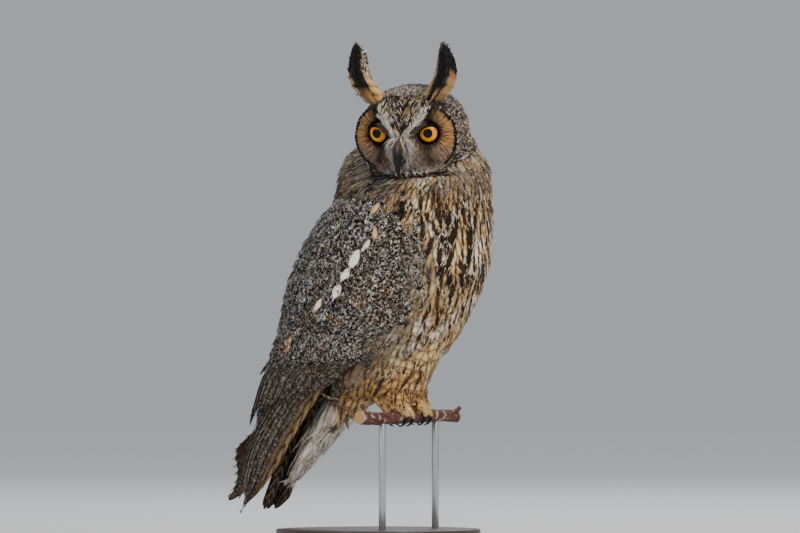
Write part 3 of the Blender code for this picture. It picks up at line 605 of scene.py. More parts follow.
def fringe(one, seed, per, length, width, spread, reach=2, edges=False):
    # loose barbs along the end of each feather, in the colours of the place they grow from
    draw = np.random.default_rng(seed)
    count, rows, wide = one["places"].shape[:3]
    feather = np.repeat(np.arange(count), per)
    row = draw.integers(rows - reach, rows - 1 if edges else rows, len(feather))
    column = draw.random(len(feather)) * (wide - 1)
    column = np.round(column / (wide - 1)) * (wide - 1) if edges else column
    left = np.minimum(column.astype(int), wide - 2)
    share = (column - left)[:, None]
    grid = {key: mix(one[key][feather, row, left], one[key][feather, row, left + 1], share)
            for key in ("places", "up", "vane")}
    before = mix(one["places"][feather, row - 1, left], one["places"][feather, row - 1, left + 1], share)
    ahead = unit(grid["places"] - before)
    side = np.cross(grid["up"], ahead)
    ahead = unit(ahead + side * (grid["vane"][:, :1] * spread + draw.normal(0, 0.10, (len(feather), 1))))
    side = unit(np.cross(grid["up"], ahead))
    s = np.array((0, 0.5, 1.0))
    t = s[None, :, None]
    long = length * draw.uniform(0.6, 1.25, (len(feather), 1, 1))
    middle = grid["places"][:, None] + ahead[:, None] * t * long
    middle = middle + grid["up"][:, None] * (0.0003 - draw.uniform(0.0, 0.0012, (len(feather), 1, 1)) * t**2)
    half = np.array((0.9, 1.0, 0.0))[None, :, None] * width / 2
    tags = np.repeat(grid["vane"][:, None], 3 * (len(s) - 1) + 1, axis=1)
    byPoint = one["look"]["ground"].ndim == 3
    look = {key: value[feather, row * wide + left] if byPoint else value[feather]
            for key, value in one["look"].items()}
    return lockSet(middle, side[:, None], grid["up"][:, None], half, 0.7, tags, look, one["roots"][feather])


def lockSet(middle, side, up, half, ridge, tags, look, roots):
    # slim three-sided locks along the middles, each ending in a point
    points = np.stack([middle - side * half, middle + up * half * ridge, middle + side * half], 2)
    points = np.concatenate([points[:, :-1].reshape(len(middle), -1, 3), middle[:, -1:]], 1)
    return {"points": points, "tags": tags, "barb": np.zeros(points.shape[:2]), "look": look, "roots": roots,
            "faces": lockFaces(middle.shape[1] - 1)}


def lockTags(s, count, draw):
    rows = len(s) - 1
    tags = np.zeros((count, rows * 3 + 1, 3))
    tags[:, :-1, 0] = np.tile([-1, 0, 1], rows)[None]
    tags[:, :-1, 1] = np.repeat(s[:-1], 3)[None]
    tags[:, -1, 1] = 1
    tags[..., 2] = draw.random((count, 1))
    return tags


def hairLocks(roots, normals, lies, lengths, widths, look, shape):
    # fine loose barbs that follow the form
    count = len(roots)
    draw = np.random.default_rng(shape["seed"])
    ahead = unit(lies - normals * dot(lies, normals))
    side = np.cross(normals, ahead)
    ahead = unit(ahead + side * draw.normal(0, shape["stray"], (count, 1)))
    side = np.cross(normals, ahead)
    s = np.array(shape["along"])
    bow = draw.normal(0, shape["bow"], (count, 1, 1))
    path = (roots[:, None] + ahead[:, None] * (s[None, :, None] * lengths[:, None, None])
            + side[:, None] * (bow * s[None, :, None] ** 2 * lengths[:, None, None]))
    place, up = settle(path)
    rise = mix(-shape["sink"], shape["proud"], s[None, :] ** shape["rise"])
    rise = rise + draw.uniform(-1, 1, (count, 1)) * shape["loose"] * s[None]
    half = np.array(shape["outline"])[None, :, None] * widths[:, None, None] / 2
    return lockSet(place + up * rise[..., None], side[:, None], up, half, 0.9, lockTags(s, count, draw),
                   look, roots)


def lockFaces(rows):
    # a three-sided lock that ends in a point
    quads = []
    for r in range(rows - 1):
        for k in range(3):
            a, b = r * 3 + k, r * 3 + (k + 1) % 3
            quads.append((a, a + 3, b + 3, b))
    last, tip = (rows - 1) * 3, rows * 3
    ends = [(last + k, tip, last + (k + 1) % 3) for k in range(3)] + [(0, 1, 2)]
    return [np.array(quads), np.array(ends)]


def vaneSet(places, normals, tags, lengths, widths, look, thick, roots):
    points, pointTags, barb = gatherFeathers(places, thick, normals, tags, lengths, widths)
    return {"points": points, "tags": pointTags, "barb": barb, "look": look, "roots": roots,
            "faces": featherGrid(*places.shape[1:3]), "places": places, "up": normals, "vane": tags}


# colours and patterns of the plumage

palette = {
    "black": "0B0807", "darkBrown": "1F160F", "brown": "412C1C", "greyBrown": "52463B", "ash": "A89C8D",
    "white": "F5F0E7", "cream": "E9D3A7", "buff": "CBA066", "orangeBuff": "C27F39", "pinkGrey": "9C8474",
}
tone = {key: toLinear(code) for key, code in palette.items()}


def tint(base, name, share):
    return base + (tone[name] - base) * np.broadcast_to(np.clip(share, 0, 1), len(base))[:, None]


def filled(name, count):
    return np.tile(tone[name], (count, 1))


def band(value, low, high, soft):
    # 1 between two values and falling to 0 outside them
    return eased((value - low) / soft + 0.5) * eased((high - value) / soft + 0.5)


def nearLine(x, y, start, end, width):
    along = np.subtract(end, start)
    share = np.clip(((x - start[0]) * along[0] + (y - start[1]) * along[1]) / np.dot(along, along), 0, 1)
    away = np.hypot(x - start[0] - along[0] * share, y - start[1] - along[1] * share)
    return np.exp(-((away / width) ** 2))


def bodyPlaces(points):
    # x, forward, up, the angle round the body from the breast, and the share across a wing
    x, forward, up = points[:, 0], -points[:, 1] - body["feetForward"], points[:, 2]
    rows = readSmoothly(body["coat"], up)
    angle = np.arctan2(np.abs(x) / rows[:, 1], (forward - rows[:, 0]) / rows[:, 2])
    share = (np.degrees(angle) - rows[:, 3]) / (rows[:, 4] - rows[:, 3])
    return x, forward, up, angle, share


def headPlaces(points):
    # reach is 1 on the edge of the face disc
    x, forward, up = toHead(points)
    off = np.abs(x)
    curve = head["discCurve"]
    reach = ((off / head["discHalfWidth"]) ** curve
             + (np.abs(up - head["discUp"]) / head["discHalfHeight"]) ** curve) ** (1 / curve)
    fromEye = np.hypot(off - eyes["discOff"], up - eyes["up"])
    return x, off, forward, up, reach, fromEye


def isHead(points):
    x, _, forward, up, _, _ = headPlaces(points)
    wide, deep, high = head["skull"]
    inside = (x / wide) ** 2 + ((forward + 0.002) / deep) ** 2 + (up / high) ** 2
    return inside < 1.06


def ordinaryLook(count, ground, mark, pale, streak, bars, freckle):
    # colours by name, then how far the shaft streak, the bars and the scribbles go
    full = np.ones(count)
    return {"ground": tone[ground] * full[:, None], "mark": tone[mark] * full[:, None],
            "pale": tone[pale] * full[:, None], "bands": full * 4.3,
            "drawn": np.stack([full * streak, full * bars, full * freckle], -1)}


def bodyLook(points, seed):
    draw = np.random.default_rng(seed)
    count = len(points)
    _, forward, up, angle, share = bodyPlaces(points)
    chance = draw.random((4, count))
    under = eased(0.5 - share * 4) * (up < 0.30)
    look = ordinaryLook(count, "darkBrown", "black", "ash", 0.0, 0.0, 0.0)
    # mantle and rump: dark with grey scribbles
    ground = tint(look["ground"], "brown", 0.8 * (chance[0] > 0.55))
    streak, bars, freckle = np.full(count, 0.18), np.full(count, 0.0), np.full(count, 0.80)
    # breast and belly
    low = eased((0.250 - up) / 0.06)
    belly = filled("cream", count)
    belly = tint(belly, "buff", 0.80 * chance[1] + 0.15 * low)
    belly = tint(belly, "orangeBuff", 0.50 * eased((0.165 - up) / 0.03) + 0.45 * (up > 0.25) * chance[0])
    belly = tint(belly, "white", 0.55 * (chance[2] > 0.62) * (up > 0.165))
    ground = mix(ground, belly, under[:, None])
    streak = mix(streak, mix(0.86, 0.46, low) * (0.50 + 0.8 * chance[3]), under)
    bars = mix(bars, 0.62 * low, under)
    blotch = tint(look["mark"], "brown", 0.55 * chance[0] + 0.1 + 0.4 * low)
    look["mark"] = mix(look["mark"], blotch, under[:, None])
    look["bands"] = mix(4.3, 3.4, under)
    freckle = mix(freckle, 0.0, under)
    # neck: blurred buff and brown, paler in front, darker at the nape
    neck = eased((up - 0.284) / 0.012)
    collar = tint(filled("buff", count), "cream", 0.6 * chance[3])
    collar = tint(collar, "white", 0.5 * (chance[2] > 0.7))
    collar = tint(collar, "brown", 0.15 + 0.75 * chance[0] * (chance[1] > 0.45))
    collar = tint(collar, "darkBrown", 0.60 * eased((angle - 0.9) / 0.7) + 0.5 * (chance[0] > 0.72))
    ground = mix(ground, collar, neck[:, None])
    streak = mix(streak, 0.35 + 0.4 * chance[3], neck)
    freckle = mix(freckle, 0.30, neck)
    bars = mix(bars, 0.15, neck)
    high = eased((up - 0.296) / 0.012)
    nape = tint(filled("greyBrown", count), "buff", 0.55 * chance[0])
    nape = tint(nape, "darkBrown", 0.7 * (chance[1] > 0.5))
    ground = mix(ground, nape, (0.7 * high)[:, None])
    streak, freckle = mix(streak, 0.30 * (chance[2] > 0.4), high), mix(freckle, 0.75, high)
    # soft white feathers under the tail, with thin dark shafts
    tail = eased((0.128 - up) / 0.02) * (forward < -0.035)
    ground = mix(ground, mix(tone["white"], tone["cream"], 0.55 * chance[2][:, None]), tail[:, None])
    streak, bars, freckle = mix(streak, 0.24 * (chance[1] > 0.4), tail), bars * (1 - tail), freckle * (1 - tail)
    # legs
    leg = (up < 0.122) & (forward > -0.03)
    ground[leg] = mix(tone["buff"], tone["cream"], 0.6 * chance[0][leg][:, None])
    streak[leg], bars[leg], freckle[leg] = 0.0, 0.0, 0.0
    look["ground"] = ground
    look["pale"] = mix(look["pale"], filled("white", count), 0.3)
    look["drawn"] = np.stack([streak, bars, freckle], -1)
    return look


browLine = ((0.0060, -0.001), (0.0205, 0.0195))


def headLook(points, seed):
    draw = np.random.default_rng(seed)
    count = len(points)
    chance = draw.random((4, count))
    _, off, forward, up, reach, fromEye = headPlaces(points)
    face = eased((1.0 - reach) / 0.05 + 0.5) * eased((forward - 0.0165) / 0.002)
    look = ordinaryLook(count, "greyBrown", "black", "ash", 0.0, 0.0, 0.0)
    # crown and nape: black, buff and white speckle
    ground = tint(filled("greyBrown", count), "darkBrown", 0.55)
    ground = tint(ground, "buff", 0.55 * (chance[0] > 0.70))
    ground = tint(ground, "darkBrown", 0.8 * (chance[1] > 0.5))
    ground = tint(ground, "black", 0.8 * eased((0.009 - off) / 0.006) * eased((forward + 0.01) / 0.01))
    top = eased((up - 0.018) / 0.012) * eased((forward + 0.030) / 0.02)
    ground = tint(ground, "black", 0.75 * top * (chance[3] > 0.25))
    streak, bars, freckle = np.full(count, 0.30), np.full(count, 0.10), 0.80 - 0.35 * top
    # ruff round the disc: grey-white speckle, dark brown below
    ground = tint(ground, "black", 0.55 * nearLine(off, up, (0.016, 0.026), (0.034, 0.030), 0.008))
    ruff = band(reach, 1.0, 1.35, 0.10) * eased((forward - 0.006) / 0.004)
    grey = tint(filled("ash", count), "darkBrown", 0.75 * (chance[2] > 0.6))
    ground = mix(ground, grey, ruff[:, None])
    below = ruff * eased((-0.012 - up) / 0.008)
    throat = tint(filled("brown", count), "white", 0.8 * (chance[2] > 0.7))
    ground = mix(ground, throat, below[:, None])
    # disc: tawny beside the eyes, greyish pink lower down, with fine dark lines
    disc = tint(filled("buff", count), "orangeBuff", 0.15 * chance[2])
    disc = tint(disc, "brown", 0.22 + 0.20 * eased((0.006 - up) / 0.02))
    glow = np.exp(-((fromEye - 0.014) / 0.010) ** 2) * eased((off - 0.020) / 0.008)
    disc = tint(disc, "orangeBuff", 0.45 * glow)
    disc = tint(disc, "pinkGrey", 0.85 * eased((0.002 - up) / 0.016) + 0.65 * eased((reach - 0.78) / 0.14))
    disc = tint(disc, "darkBrown", 0.50 * (chance[0] > 0.80))
    disc = tint(disc, "ash", 0.35 * (chance[1] > 0.70))
    # between eye and bill: pale grey bristles, a dark smudge under the eye
    nose = eased((0.0150 - off) / 0.006) * eased((0.004 - up) / 0.004)
    bristle = tint(filled("ash", count), "white", 0.5 * chance[2])
    bristle = tint(bristle, "greyBrown", 0.7 * (chance[1] > 0.6))
    disc = mix(disc, bristle, nose[:, None])
    smudge = nearLine(off, up, (0.0185, -0.0085), (0.0225, -0.0165), 0.0036)
    disc = tint(disc, "black", 0.8 * smudge)
    # black patch between brow and eye, and the dark ring of the eye
    above = nearLine(off, up, (0.0150, 0.0060), (0.0240, 0.0190), 0.0050)
    disc = tint(disc, "black", 1.15 * above)
    disc = tint(disc, "darkBrown", 0.8 * nearLine(off, up, (0.0230, 0.0240), (0.0330, 0.0190), 0.0050))
    disc = tint(disc, "black", 0.9 * eased((0.0112 - fromEye) / 0.0022))
    brow = nearLine(off, up, *browLine, 0.0019)
    browTone = tint(filled("ash", count), "white", 0.85 * chance[3])
    disc = mix(disc, browTone, eased(brow * 1.6 - 0.3)[:, None])
    # speckled wedge between the brows, then black and white below the bill and the dark rim
    line = browLine[0][0] + (up - browLine[0][1]) * 0.70
    wedge = eased((line - 0.0012 - off) / 0.002) * eased((up + 0.001) / 0.004)
    speckled = tint(filled("darkBrown", count), "black", 0.9 * (chance[2] > 0.4))
    speckled = tint(speckled, "white", 0.75 * (chance[1] > 0.74))
    speckled = tint(speckled, "buff", 0.7 * (chance[3] > 0.82))
    disc = mix(disc, speckled, wedge[:, None])
    chin = nearLine(off, up, (0.0, -0.031), (0.018, -0.0295), 0.0045)
    disc = mix(disc, mix(tone["black"], tone["white"], (chance[0] > 0.55)[:, None] * 0.85), chin[:, None])
    rim = band(reach, 0.965, 1.035, 0.03) * (1 - eased((up - 0.016) / 0.004) * eased((0.027 - off) / 0.005))
    ground = mix(ground, disc, face[:, None])
    ground = tint(ground, "black", rim * 0.92 * eased((forward - 0.004) / 0.006))
    look["ground"] = ground
    plain = face * (1 - wedge)
    freckle = freckle * (1 - face)
    look["drawn"] = np.stack([streak * (1 - plain), bars * (1 - plain), freckle], -1)
    look["pale"] = mix(look["pale"], filled("white", count), 0.45)
    return look


def bodyLie(points):
    x, forward, up, _, _ = bodyPlaces(points)
    back = eased((0.250 - up) / 0.10)
    lie = np.stack([np.zeros_like(x), mix(0.10, 0.58, back), np.full_like(x, -1.0)], -1)
    neck = eased((up - 0.290) / 0.02)
    away = points - headMiddle
    away[:, 2] = 0
    lie = lie + unit(away) * (0.55 * neck)[:, None]
    tail = eased((0.118 - up) / 0.02) * (forward < -0.035)
    return unit(mix(lie, np.array([0.0, 0.41, -0.91]), tail[:, None]))


def headLie(points):
    x, off, forward, up, reach, _ = headPlaces(points)
    sign = np.where(x < 0, -1.0, 1.0)
    skull = headWay(x / 0.05, np.full_like(x, -1.0), -0.25 + 0.4 * up / 0.04)
    wayX, wayUp = off - eyes["discOff"], up - eyes["up"]
    long = np.hypot(wayX, wayUp)
    wayX, wayUp = wayX / long, wayUp / long
    nose = eased((0.0155 - off) / 0.007)
    wayX, wayUp = mix(wayX, 0.55, nose), mix(wayUp, np.where(up > -0.001, 1.0, -1.0), nose)
    disc = headWay(wayX * sign, 0.0 * x, wayUp)
    face = eased((1.0 - reach) / 0.06 + 0.5) * eased((forward - 0.014) / 0.004)
    return unit(mix(skull, disc, face[:, None]))


def unwrapBody(points):
    x, forward, up = points[:, 0], -points[:, 1] - body["feetForward"], points[:, 2]
    return np.stack([0.5 + np.arctan2(x, forward + 0.03) / math.tau, (up - 0.01) / 0.40], -1)


def unwrapHead(points):
    x, forward, up = toHead(points)
    long = np.sqrt(x * x + forward * forward + up * up)
    return np.stack([0.5 + np.arctan2(x, forward) / math.tau, np.arccos(-up / long) / math.pi], -1)


feathers = featherMaterial("contour feathers, dull keratin")

# the skin under the coat

print("skin")
skin = {
    "depth": 0.0034, "faceDepth": 0.0016, "footDepth": 0.0006,
    "vane": (0.5, 0.4, 0.35),  # the place on a feather that its pattern is read at
    # painted shade: the skin showing between the feathers takes the plumage's colours, darkened to 0.8
    "shade": {"ground": 0.8, "mark": 0.8, "pale": 0.8},
}


def makeSkin():
    made = newObject("skin", form.data.copy())
    _, _, forward, _, reach, _ = headPlaces(formPoints)
    onHeadToo = isHead(formPoints)
    depth = np.full(len(formPoints), skin["depth"])
    depth[onHeadToo & (reach < 1.05) & (forward > 0.016)] = skin["faceDepth"]
    _, forward, up, _, _ = bodyPlaces(formPoints)
    depth[(up < 0.121) & (forward > -0.03)] = skin["footDepth"]
    points = formPoints - formNormals * depth[:, None]
    made.data.vertices.foreach_set("co", points.reshape(-1))
    looks = [bodyLook(formPoints, 3), headLook(formPoints, 4)]
    # painted shade: the plumage colours are darkened by skin["shade"] for the skin between the feathers
    look = {key: np.where(onHeadToo[:, None], looks[1][key], looks[0][key]) * skin["shade"].get(key, 1.0)
            for key in ("drawn", "ground", "mark", "pale")}
    look["bands"] = np.zeros(len(points))
    storeLook(made.data, np.tile(skin["vane"], (len(points), 1)), look, np.zeros(len(points)))
    smoothShade(made)
    dress(made, "plumage", feathers, *fleshNodes)


makeSkin()
bpy.data.objects.remove(form)

# the coat on the body

print("coat on the body")
contour = {
    "stray": 0.11, "along": (0, 0.30, 0.60, 0.85, 1.0), "outline": (0.45, 0.95, 1.0, 0.84, 0.42),
    "columns": (-1, -0.5, 0, 0.5, 1), "round": 0.10, "ragged": 0.05, "sink": 0.0030, "proud": 0.0004,
    "rise": 0.8, "cup": 0.0006, "loose": 0.0006, "thick": 0.00016,
}
smallContour = {
    **contour, "along": (0, 0.42, 0.80, 1.0), "outline": (0.5, 1.0, 0.86, 0.40), "columns": (-1, 0, 1),
    "sink": 0.0018, "cup": 0.0002, "loose": 0.0004, "thick": 0.00010,
}
bodyCoat = {  # length, width and gap of each part's feathers, in metres
    "breast": (0.0250, 0.0135, 0.0070),
    "neck": (0.0170, 0.0085, 0.0044),
    "back": (0.0225, 0.0125, 0.0060),
    "lesser": (0.0125, 0.0088, 0.0042),
    "undertail": (0.0390, 0.0125, 0.0075),
    "leg": (0.0110, 0.0046, 0.0024),
    "toe": (0.0042, 0.0020, 0.0012),
}


def scapularLine(up):
    # the share across the wing in front of which the lesser coverts show
    return np.interp(up, (0.185, 0.202, 0.242, 0.274), (0.62, 0.46, 0.33, 0.20))


regions = {"neckFrom": 0.284, "trunkTop": 0.287, "footTop": 0.1175, "legTop": 0.126, "tailTop": 0.128,
           "legsFrom": -0.028}


def part(points, name):
    _, forward, up, _, share = bodyPlaces(points)
    onHeadToo = isHead(points)
    trunk = ~onHeadToo & (up < regions["trunkTop"])
    foot = (up < regions["footTop"]) & (forward > regions["legsFrom"])
    leg = (up < regions["legTop"]) & (forward > regions["legsFrom"]) & ~foot
    tail = (up < regions["tailTop"]) & (forward <= regions["legsFrom"])
    middle = trunk & ~foot & ~leg & ~tail
    if name == "neck":
        return ~onHeadToo & (up >= regions["neckFrom"])
    if name == "breast":
        return middle & (share < 0.10)
    if name == "back":
        return middle & (share > scapularLine(up)) & (up > 0.172)
    if name == "lesser":
        return middle & (share > 0.015) & (share < scapularLine(up) + 0.12) & (up > 0.185)
    if name == "undertail":
        return trunk & tail
    return foot if name == "toe" else leg


def coverPart(name, seed, shape, look, lies, longer=None):
    length, width, gap = bodyCoat[name]
    roots, normals = scatter(lambda p: part(p, name), gap, seed)
    draw = np.random.default_rng(seed + 1)
    scale = draw.normal(1, 0.10, len(roots)) * (1.0 if longer is None else longer(roots))
    made = look(roots, seed + 2)
    return bodyFeathers(roots, normals, lies(roots), length * scale, width * scale, made,
                        {**shape, "seed": seed})


def legLie(points):
    x, forward, _, _, _ = bodyPlaces(points)
    return np.stack([x * 0, -0.05 - (forward + 0.003) * 8, np.full_like(x, -1.0)], -1)


def toeLie(points):
    x, forward, up, _, _ = bodyPlaces(points)
    ahead = forward + 0.003
    high = up - 0.104
    way = np.where(ahead > 0, 1.0, -1.0)
    return np.stack([x * 0, -high * way, -np.abs(ahead)], -1)


def coverLook(points, seed):
    # wing and shoulders: blackish brown with dense grey-white scribbles and dark shafts
    draw = np.random.default_rng(seed)
    count = len(points)
    _, _, up, _, share = bodyPlaces(points)
    chance = draw.random((5, count))
    look = ordinaryLook(count, "darkBrown", "black", "ash", 0.26, 0.0, 0.88)
    ground = tint(look["ground"], "brown", 0.5 * chance[0] * (chance[1] > 0.5))
    ground = tint(ground, "black", 0.70 * (chance[0] > 0.3))
    warm = eased(0.5 + (0.215 - up) / 0.05) * (share < 0.55)
    ground = tint(ground, "orangeBuff", 0.30 * warm * (chance[2] > 0.72))
    patch = nearLine(share, up * 6, (0.50, 1.02), (0.66, 1.00), 0.07)
    ground = tint(ground, "orangeBuff", 0.75 * patch * (chance[3] > 0.45))
    ground = tint(ground, "cream", 0.85 * eased((0.10 - share) / 0.06) * (chance[3] > 0.74) * (up < 0.235))
    look["ground"] = ground
    look["pale"] = tint(tint(look["pale"], "white", 0.65), "buff", 0.35 * chance[4] * (chance[0] > 0.5))
    look["drawn"][:, 0] *= 0.3 + 1.3 * (chance[2] > 0.35)
    look["drawn"][:, 2] *= 0.75 + 0.45 * chance[3]
    return look


def makeBodyCoat():
    breast = coverPart("breast", 31, {**contour, "cup": 0.0003}, bodyLook, bodyLie,
                       lambda p: mix(1.0, 0.72, eased((p[:, 2] - 0.245) / 0.04)))
    barbs = fringe(breast, 35, 22, 0.0052, 0.00062, 0.45)
    makeCoat("coat_breast", [breast, barbs], unwrapBody, "plumage")
    lesser = coverPart("lesser", 41, {**contour, "sink": 0.0020, "cup": 0.0004}, coverLook, bodyLie)
    back = coverPart("back", 51, {**contour, "sink": 0.0012, "proud": 0.0020}, coverLook, bodyLie)
    barbs = fringe(back, 55, 14, 0.0040, 0.0006, 0.40)
    makeCoat("coat_back", [lesser, back, barbs], unwrapBody, "plumage")
    neck = coverPart("neck", 61, {**contour, "sink": 0.0022}, bodyLook, bodyLie)
    barbs = fringe(neck, 65, 16, 0.0050, 0.0006, 0.45)
    makeCoat("coat_neck", [neck, barbs], unwrapBody, "plumage")
    pointed = (0.45, 0.95, 0.92, 0.55, 0.10)
    undertail = coverPart("undertail", 71, {**contour, "proud": 0.0022, "outline": pointed, "loose": 0.0014},
                          bodyLook, bodyLie, lambda p: mix(1.0, 1.45, eased((0.085 - p[:, 2]) / 0.02)))
    leg = coverPart("leg", 81, {**contour, "sink": 0.0020, "proud": 0.0008}, bodyLook, legLie)
    short = {**smallContour, "sink": 0.0005, "proud": 0.0003, "loose": 0.0002}
    toe = coverPart("toe", 91, short, bodyLook, toeLie)
    barbs = [fringe(undertail, 75, 10, 0.0060, 0.0007, 0.30), fringe(leg, 85, 6, 0.0032, 0.0005, 0.4)]
    makeCoat("coat_undertail_legs", [undertail, leg, toe] + barbs, unwrapBody, "plumage")


makeBodyCoat()

spots = np.array((  # height, share across the wing, length and width of the pale shoulder spots
    (0.2704, 0.345, 0.0090, 0.0050), (0.2528, 0.338, 0.0105, 0.0055), (0.2416, 0.350, 0.0100, 0.0050),
    (0.2312, 0.381, 0.0160, 0.0082), (0.2192, 0.386, 0.0120, 0.0074), (0.2064, 0.400, 0.0140, 0.0080),
    (0.1944, 0.457, 0.0100, 0.0054),
))


def makeSpots():
    # a row of pale leaf-shaped feathers along the edge of the shoulder
    up, share, length, width = spots.T
    sets = []
    for side in (-1, 1):
        roots, normals = settle(onWing(side, up + 0.40 * length, share - 0.010, 0.0))
        look = ordinaryLook(len(up), "cream", "darkBrown", "white", 0.04, 0.0, 0.0)
        look["ground"] = tint(look["ground"], "white", np.array((0.0, 0.1, 0.4, 0.9, 1.0, 1.0, 0.6)))
        look["ground"] = tint(look["ground"], "orangeBuff", np.array((0.6, 0.5, 0.2, 0.0, 0.0, 0.0, 0.0)))
        lies = bodyLie(roots) + np.array([0.0, 0.22, 0.0])
        shape = {**contour, "seed": 97 + side, "sink": -0.0008, "proud": 0.0030, "round": 0.12, "stray": 0.09,
                 "outline": (0.35, 0.85, 1.0, 0.70, 0.16)}
        one = bodyFeathers(roots, normals, lies, length, width, look, shape)
        sets += [one, fringe(one, 99 + side, 16, 0.0024, 0.0005, 0.3)]
    makeCoat("shoulder_spots", sets, unwrapBody, "plumage")


makeSpots()

# folded wings

print("wings")
wing = {
    "shingle": 0.0011,
    "vane": 0.00025,
    "rachis": 0.0003,
    "along": (0, 0.08, 0.18, 0.30, 0.42, 0.54, 0.66, 0.76, 0.85, 0.92, 0.97, 1),
    "columns": (-1, -0.72, -0.50, -0.44, -0.38, -0.05, 0.45, 1),
    "shaft": -0.44,
}


def primaryEdges(up):
    return mix(0.04, 0.14, eased((up - 0.060) / 0.060)), mix(0.88, 0.50, eased((up - 0.066) / 0.100))


def secondaryEdges(up):
    return mix(0.07, 0.13, eased((up - 0.11) / 0.1)), 0.95 + 0 * up


def covertEdges(up):
    return 0.03 + 0 * up, 0.975 + 0 * up


wingRows = {
    "primaries": {
        "count": 10, "width": 0.0150, "root": 0.176, "edges": primaryEdges,
        "tips": lambda k: 0.0238 + 0.062 * np.maximum(0, k - 0.28) ** 1.1 + 0.05 * np.maximum(0, 0.25 - k),
        "depths": ((0.042, 0.0017), (0.072, 0.0019), (0.105, 0.0055), (0.137, 0.0084), (0.176, 0.0085)),
        "outline": (0.5, 0.8, 0.92, 1, 1, 0.98, 0.95, 0.90, 0.80, 0.66, 0.46, 0.20), "round": 0.006,
    },
    "secondaries": {
        "count": 12, "width": 0.0165, "root": 0.180, "edges": secondaryEdges,
        "tips": lambda k: 0.126 - 0.028 * k,
        "depths": ((0.100, 0.0014), (0.125, 0.0032), (0.152, 0.0051), (0.180, 0.0051)),
        "outline": (0.5, 0.8, 0.95, 1, 1, 1, 1, 0.99, 0.95, 0.84, 0.62, 0.30), "round": 0.022,
    },
    "greater": {
        "count": 13, "width": 0.0165, "root": 0.190, "edges": covertEdges,
        "tips": lambda k: 0.148 - 0.010 * k,
        "depths": ((0.130, 0.0004), (0.146, 0.0008), (0.164, 0.0020), (0.190, 0.0030)),
        "outline": (0.5, 0.8, 0.95, 1, 1, 1, 1, 0.98, 0.93, 0.80, 0.58, 0.28), "round": 0.06,
    },
    "median": {
        "count": 15, "width": 0.0145, "root": 0.206, "edges": covertEdges,
        "tips": lambda k: 0.176 - 0.006 * k,
        "depths": ((0.165, 0.0000), (0.180, 0.0004), (0.206, 0.0026)),
        "outline": (0.5, 0.8, 0.95, 1, 1, 1, 1, 0.98, 0.93, 0.80, 0.58, 0.28), "round": 0.10,
    },
}


def wingVanes(side, row, look, seed):
    draw = np.random.default_rng(seed)
    count = row["count"]
    order = np.arange(count)
    tips = row["tips"](order / (count - 1)) + draw.normal(0, 0.0007, count)
    s, c = featherShares(count, wing["along"], wing["columns"])
    s[:, -1] -= row["round"] * c[:, -1] ** 2
    s[:, -2] -= row["round"] * 0.4 * c[:, -2] ** 2
    s[:, 2:] += draw.normal(0, 0.0035, (count, s.shape[1] - 2, 1)) * c[:, 2:] ** 2
    up = mix(row["root"], tips[:, None, None], s)
    front, back = row["edges"](up)
    step = 0.05
    reach = onWing(side, up, 0.45 + step, 0.003) - onWing(side, up, 0.45 - step, 0.003)
    arc = np.linalg.norm(reach, axis=-1) / (2 * step)
    half = row["width"] / 2 / arc
    apart = (back - front - 2 * half) / (count - 1)
    axis = front + half + apart * order[:, None, None]
    wide = np.array(row["outline"])[None, :, None] * (1 + draw.normal(0, 0.03, s.shape))
    share = axis + c * half * wide
    depth = readSmoothly(row["depths"], up)[..., 0]
    depth = depth + wing["shingle"] * c * half * wide / apart * 0.8
    depth = depth - np.where(np.abs(c - wing["shaft"]) < 0.02, wing["rachis"], 0.0) * (1 - 0.7 * s)
    depth = depth + draw.normal(0, 0.00025, (count, 1, 1)) * s
    places = onWing(side, up, share, depth)
    normals = onWing(side, up, share, depth - 0.001) - onWing(side, up, share, depth)
    shaft = wing["shaft"]
    across = np.where(c < shaft, (c - shaft) / (1 + shaft), (c - shaft) / (1 - shaft))
    tags = np.stack([across, s, chanceFor(draw, s)], -1)
    lengths = row["root"] - tips
    roots = places[:, 1, 4]
    made = vaneSet(places, unit(normals), tags, lengths, np.full(count, row["width"]), look(count, seed),
                   wing["vane"], roots)
    return flipped(made) if side > 0 else made


def flipped(one):
    return {**one, "faces": [grid[:, ::-1] for grid in one["faces"]]}


def remexLook(count, seed):
    draw = np.random.default_rng(seed)
    look = ordinaryLook(count, "brown", "black", "ash", 0.06, 0.55, 0.55)
    look["ground"] = tint(look["ground"], "greyBrown", draw.uniform(0.0, 0.6, count))
    look["bands"] = np.full(count, 9.0)
    return look


def primaryLook(count, seed):
    look = remexLook(count, seed)
    outer = eased(1.0 - np.arange(count) / 2)
    look["ground"] = tint(look["ground"], "darkBrown", 0.55)
    look["ground"] = tint(look["ground"], "buff", 0.40 * outer)
    look["drawn"][:, 1] = mix(0.30, 0.90, outer)
    look["drawn"][:, 2] = mix(0.85, 0.30, outer)
    look["bands"] = np.full(count, 11.0)
    return look


def plainLook(count, seed):
    look = primaryLook(count, seed)
    look["ground"] = tint(look["ground"], "brown", 0.8 * np.linspace(0.3, 1, count))
    look["drawn"][:, 1:] *= np.linspace(1.0, 0.15, count)[:, None]
    return look


def secondaryLook(count, seed):
    look = remexLook(count, seed)
    look["ground"] = tint(look["ground"], "darkBrown", 0.6)
    look["drawn"][:, 2] = 0.9
    look["drawn"][:, 1] = 0.30
    look["bands"] = np.full(count, 6.0)
    return look


def greaterLook(count, seed):
    draw = np.random.default_rng(seed)
    look = ordinaryLook(count, "darkBrown", "black", "ash", 0.16, 0.30, 0.95)
    look["ground"] = tint(look["ground"], "brown", draw.uniform(-0.3, 0.4, count))
    look["pale"] = tint(look["pale"], "white", 0.5)
    look["bands"] = np.full(count, 4.5)
    return look


def unwrapWing(points):
    x, _, up, _, share = bodyPlaces(points)
    return np.stack([0.02 + 0.46 * np.clip(share, 0, 1) + 0.5 * (x > 0), (up - 0.02) / 0.28], -1)


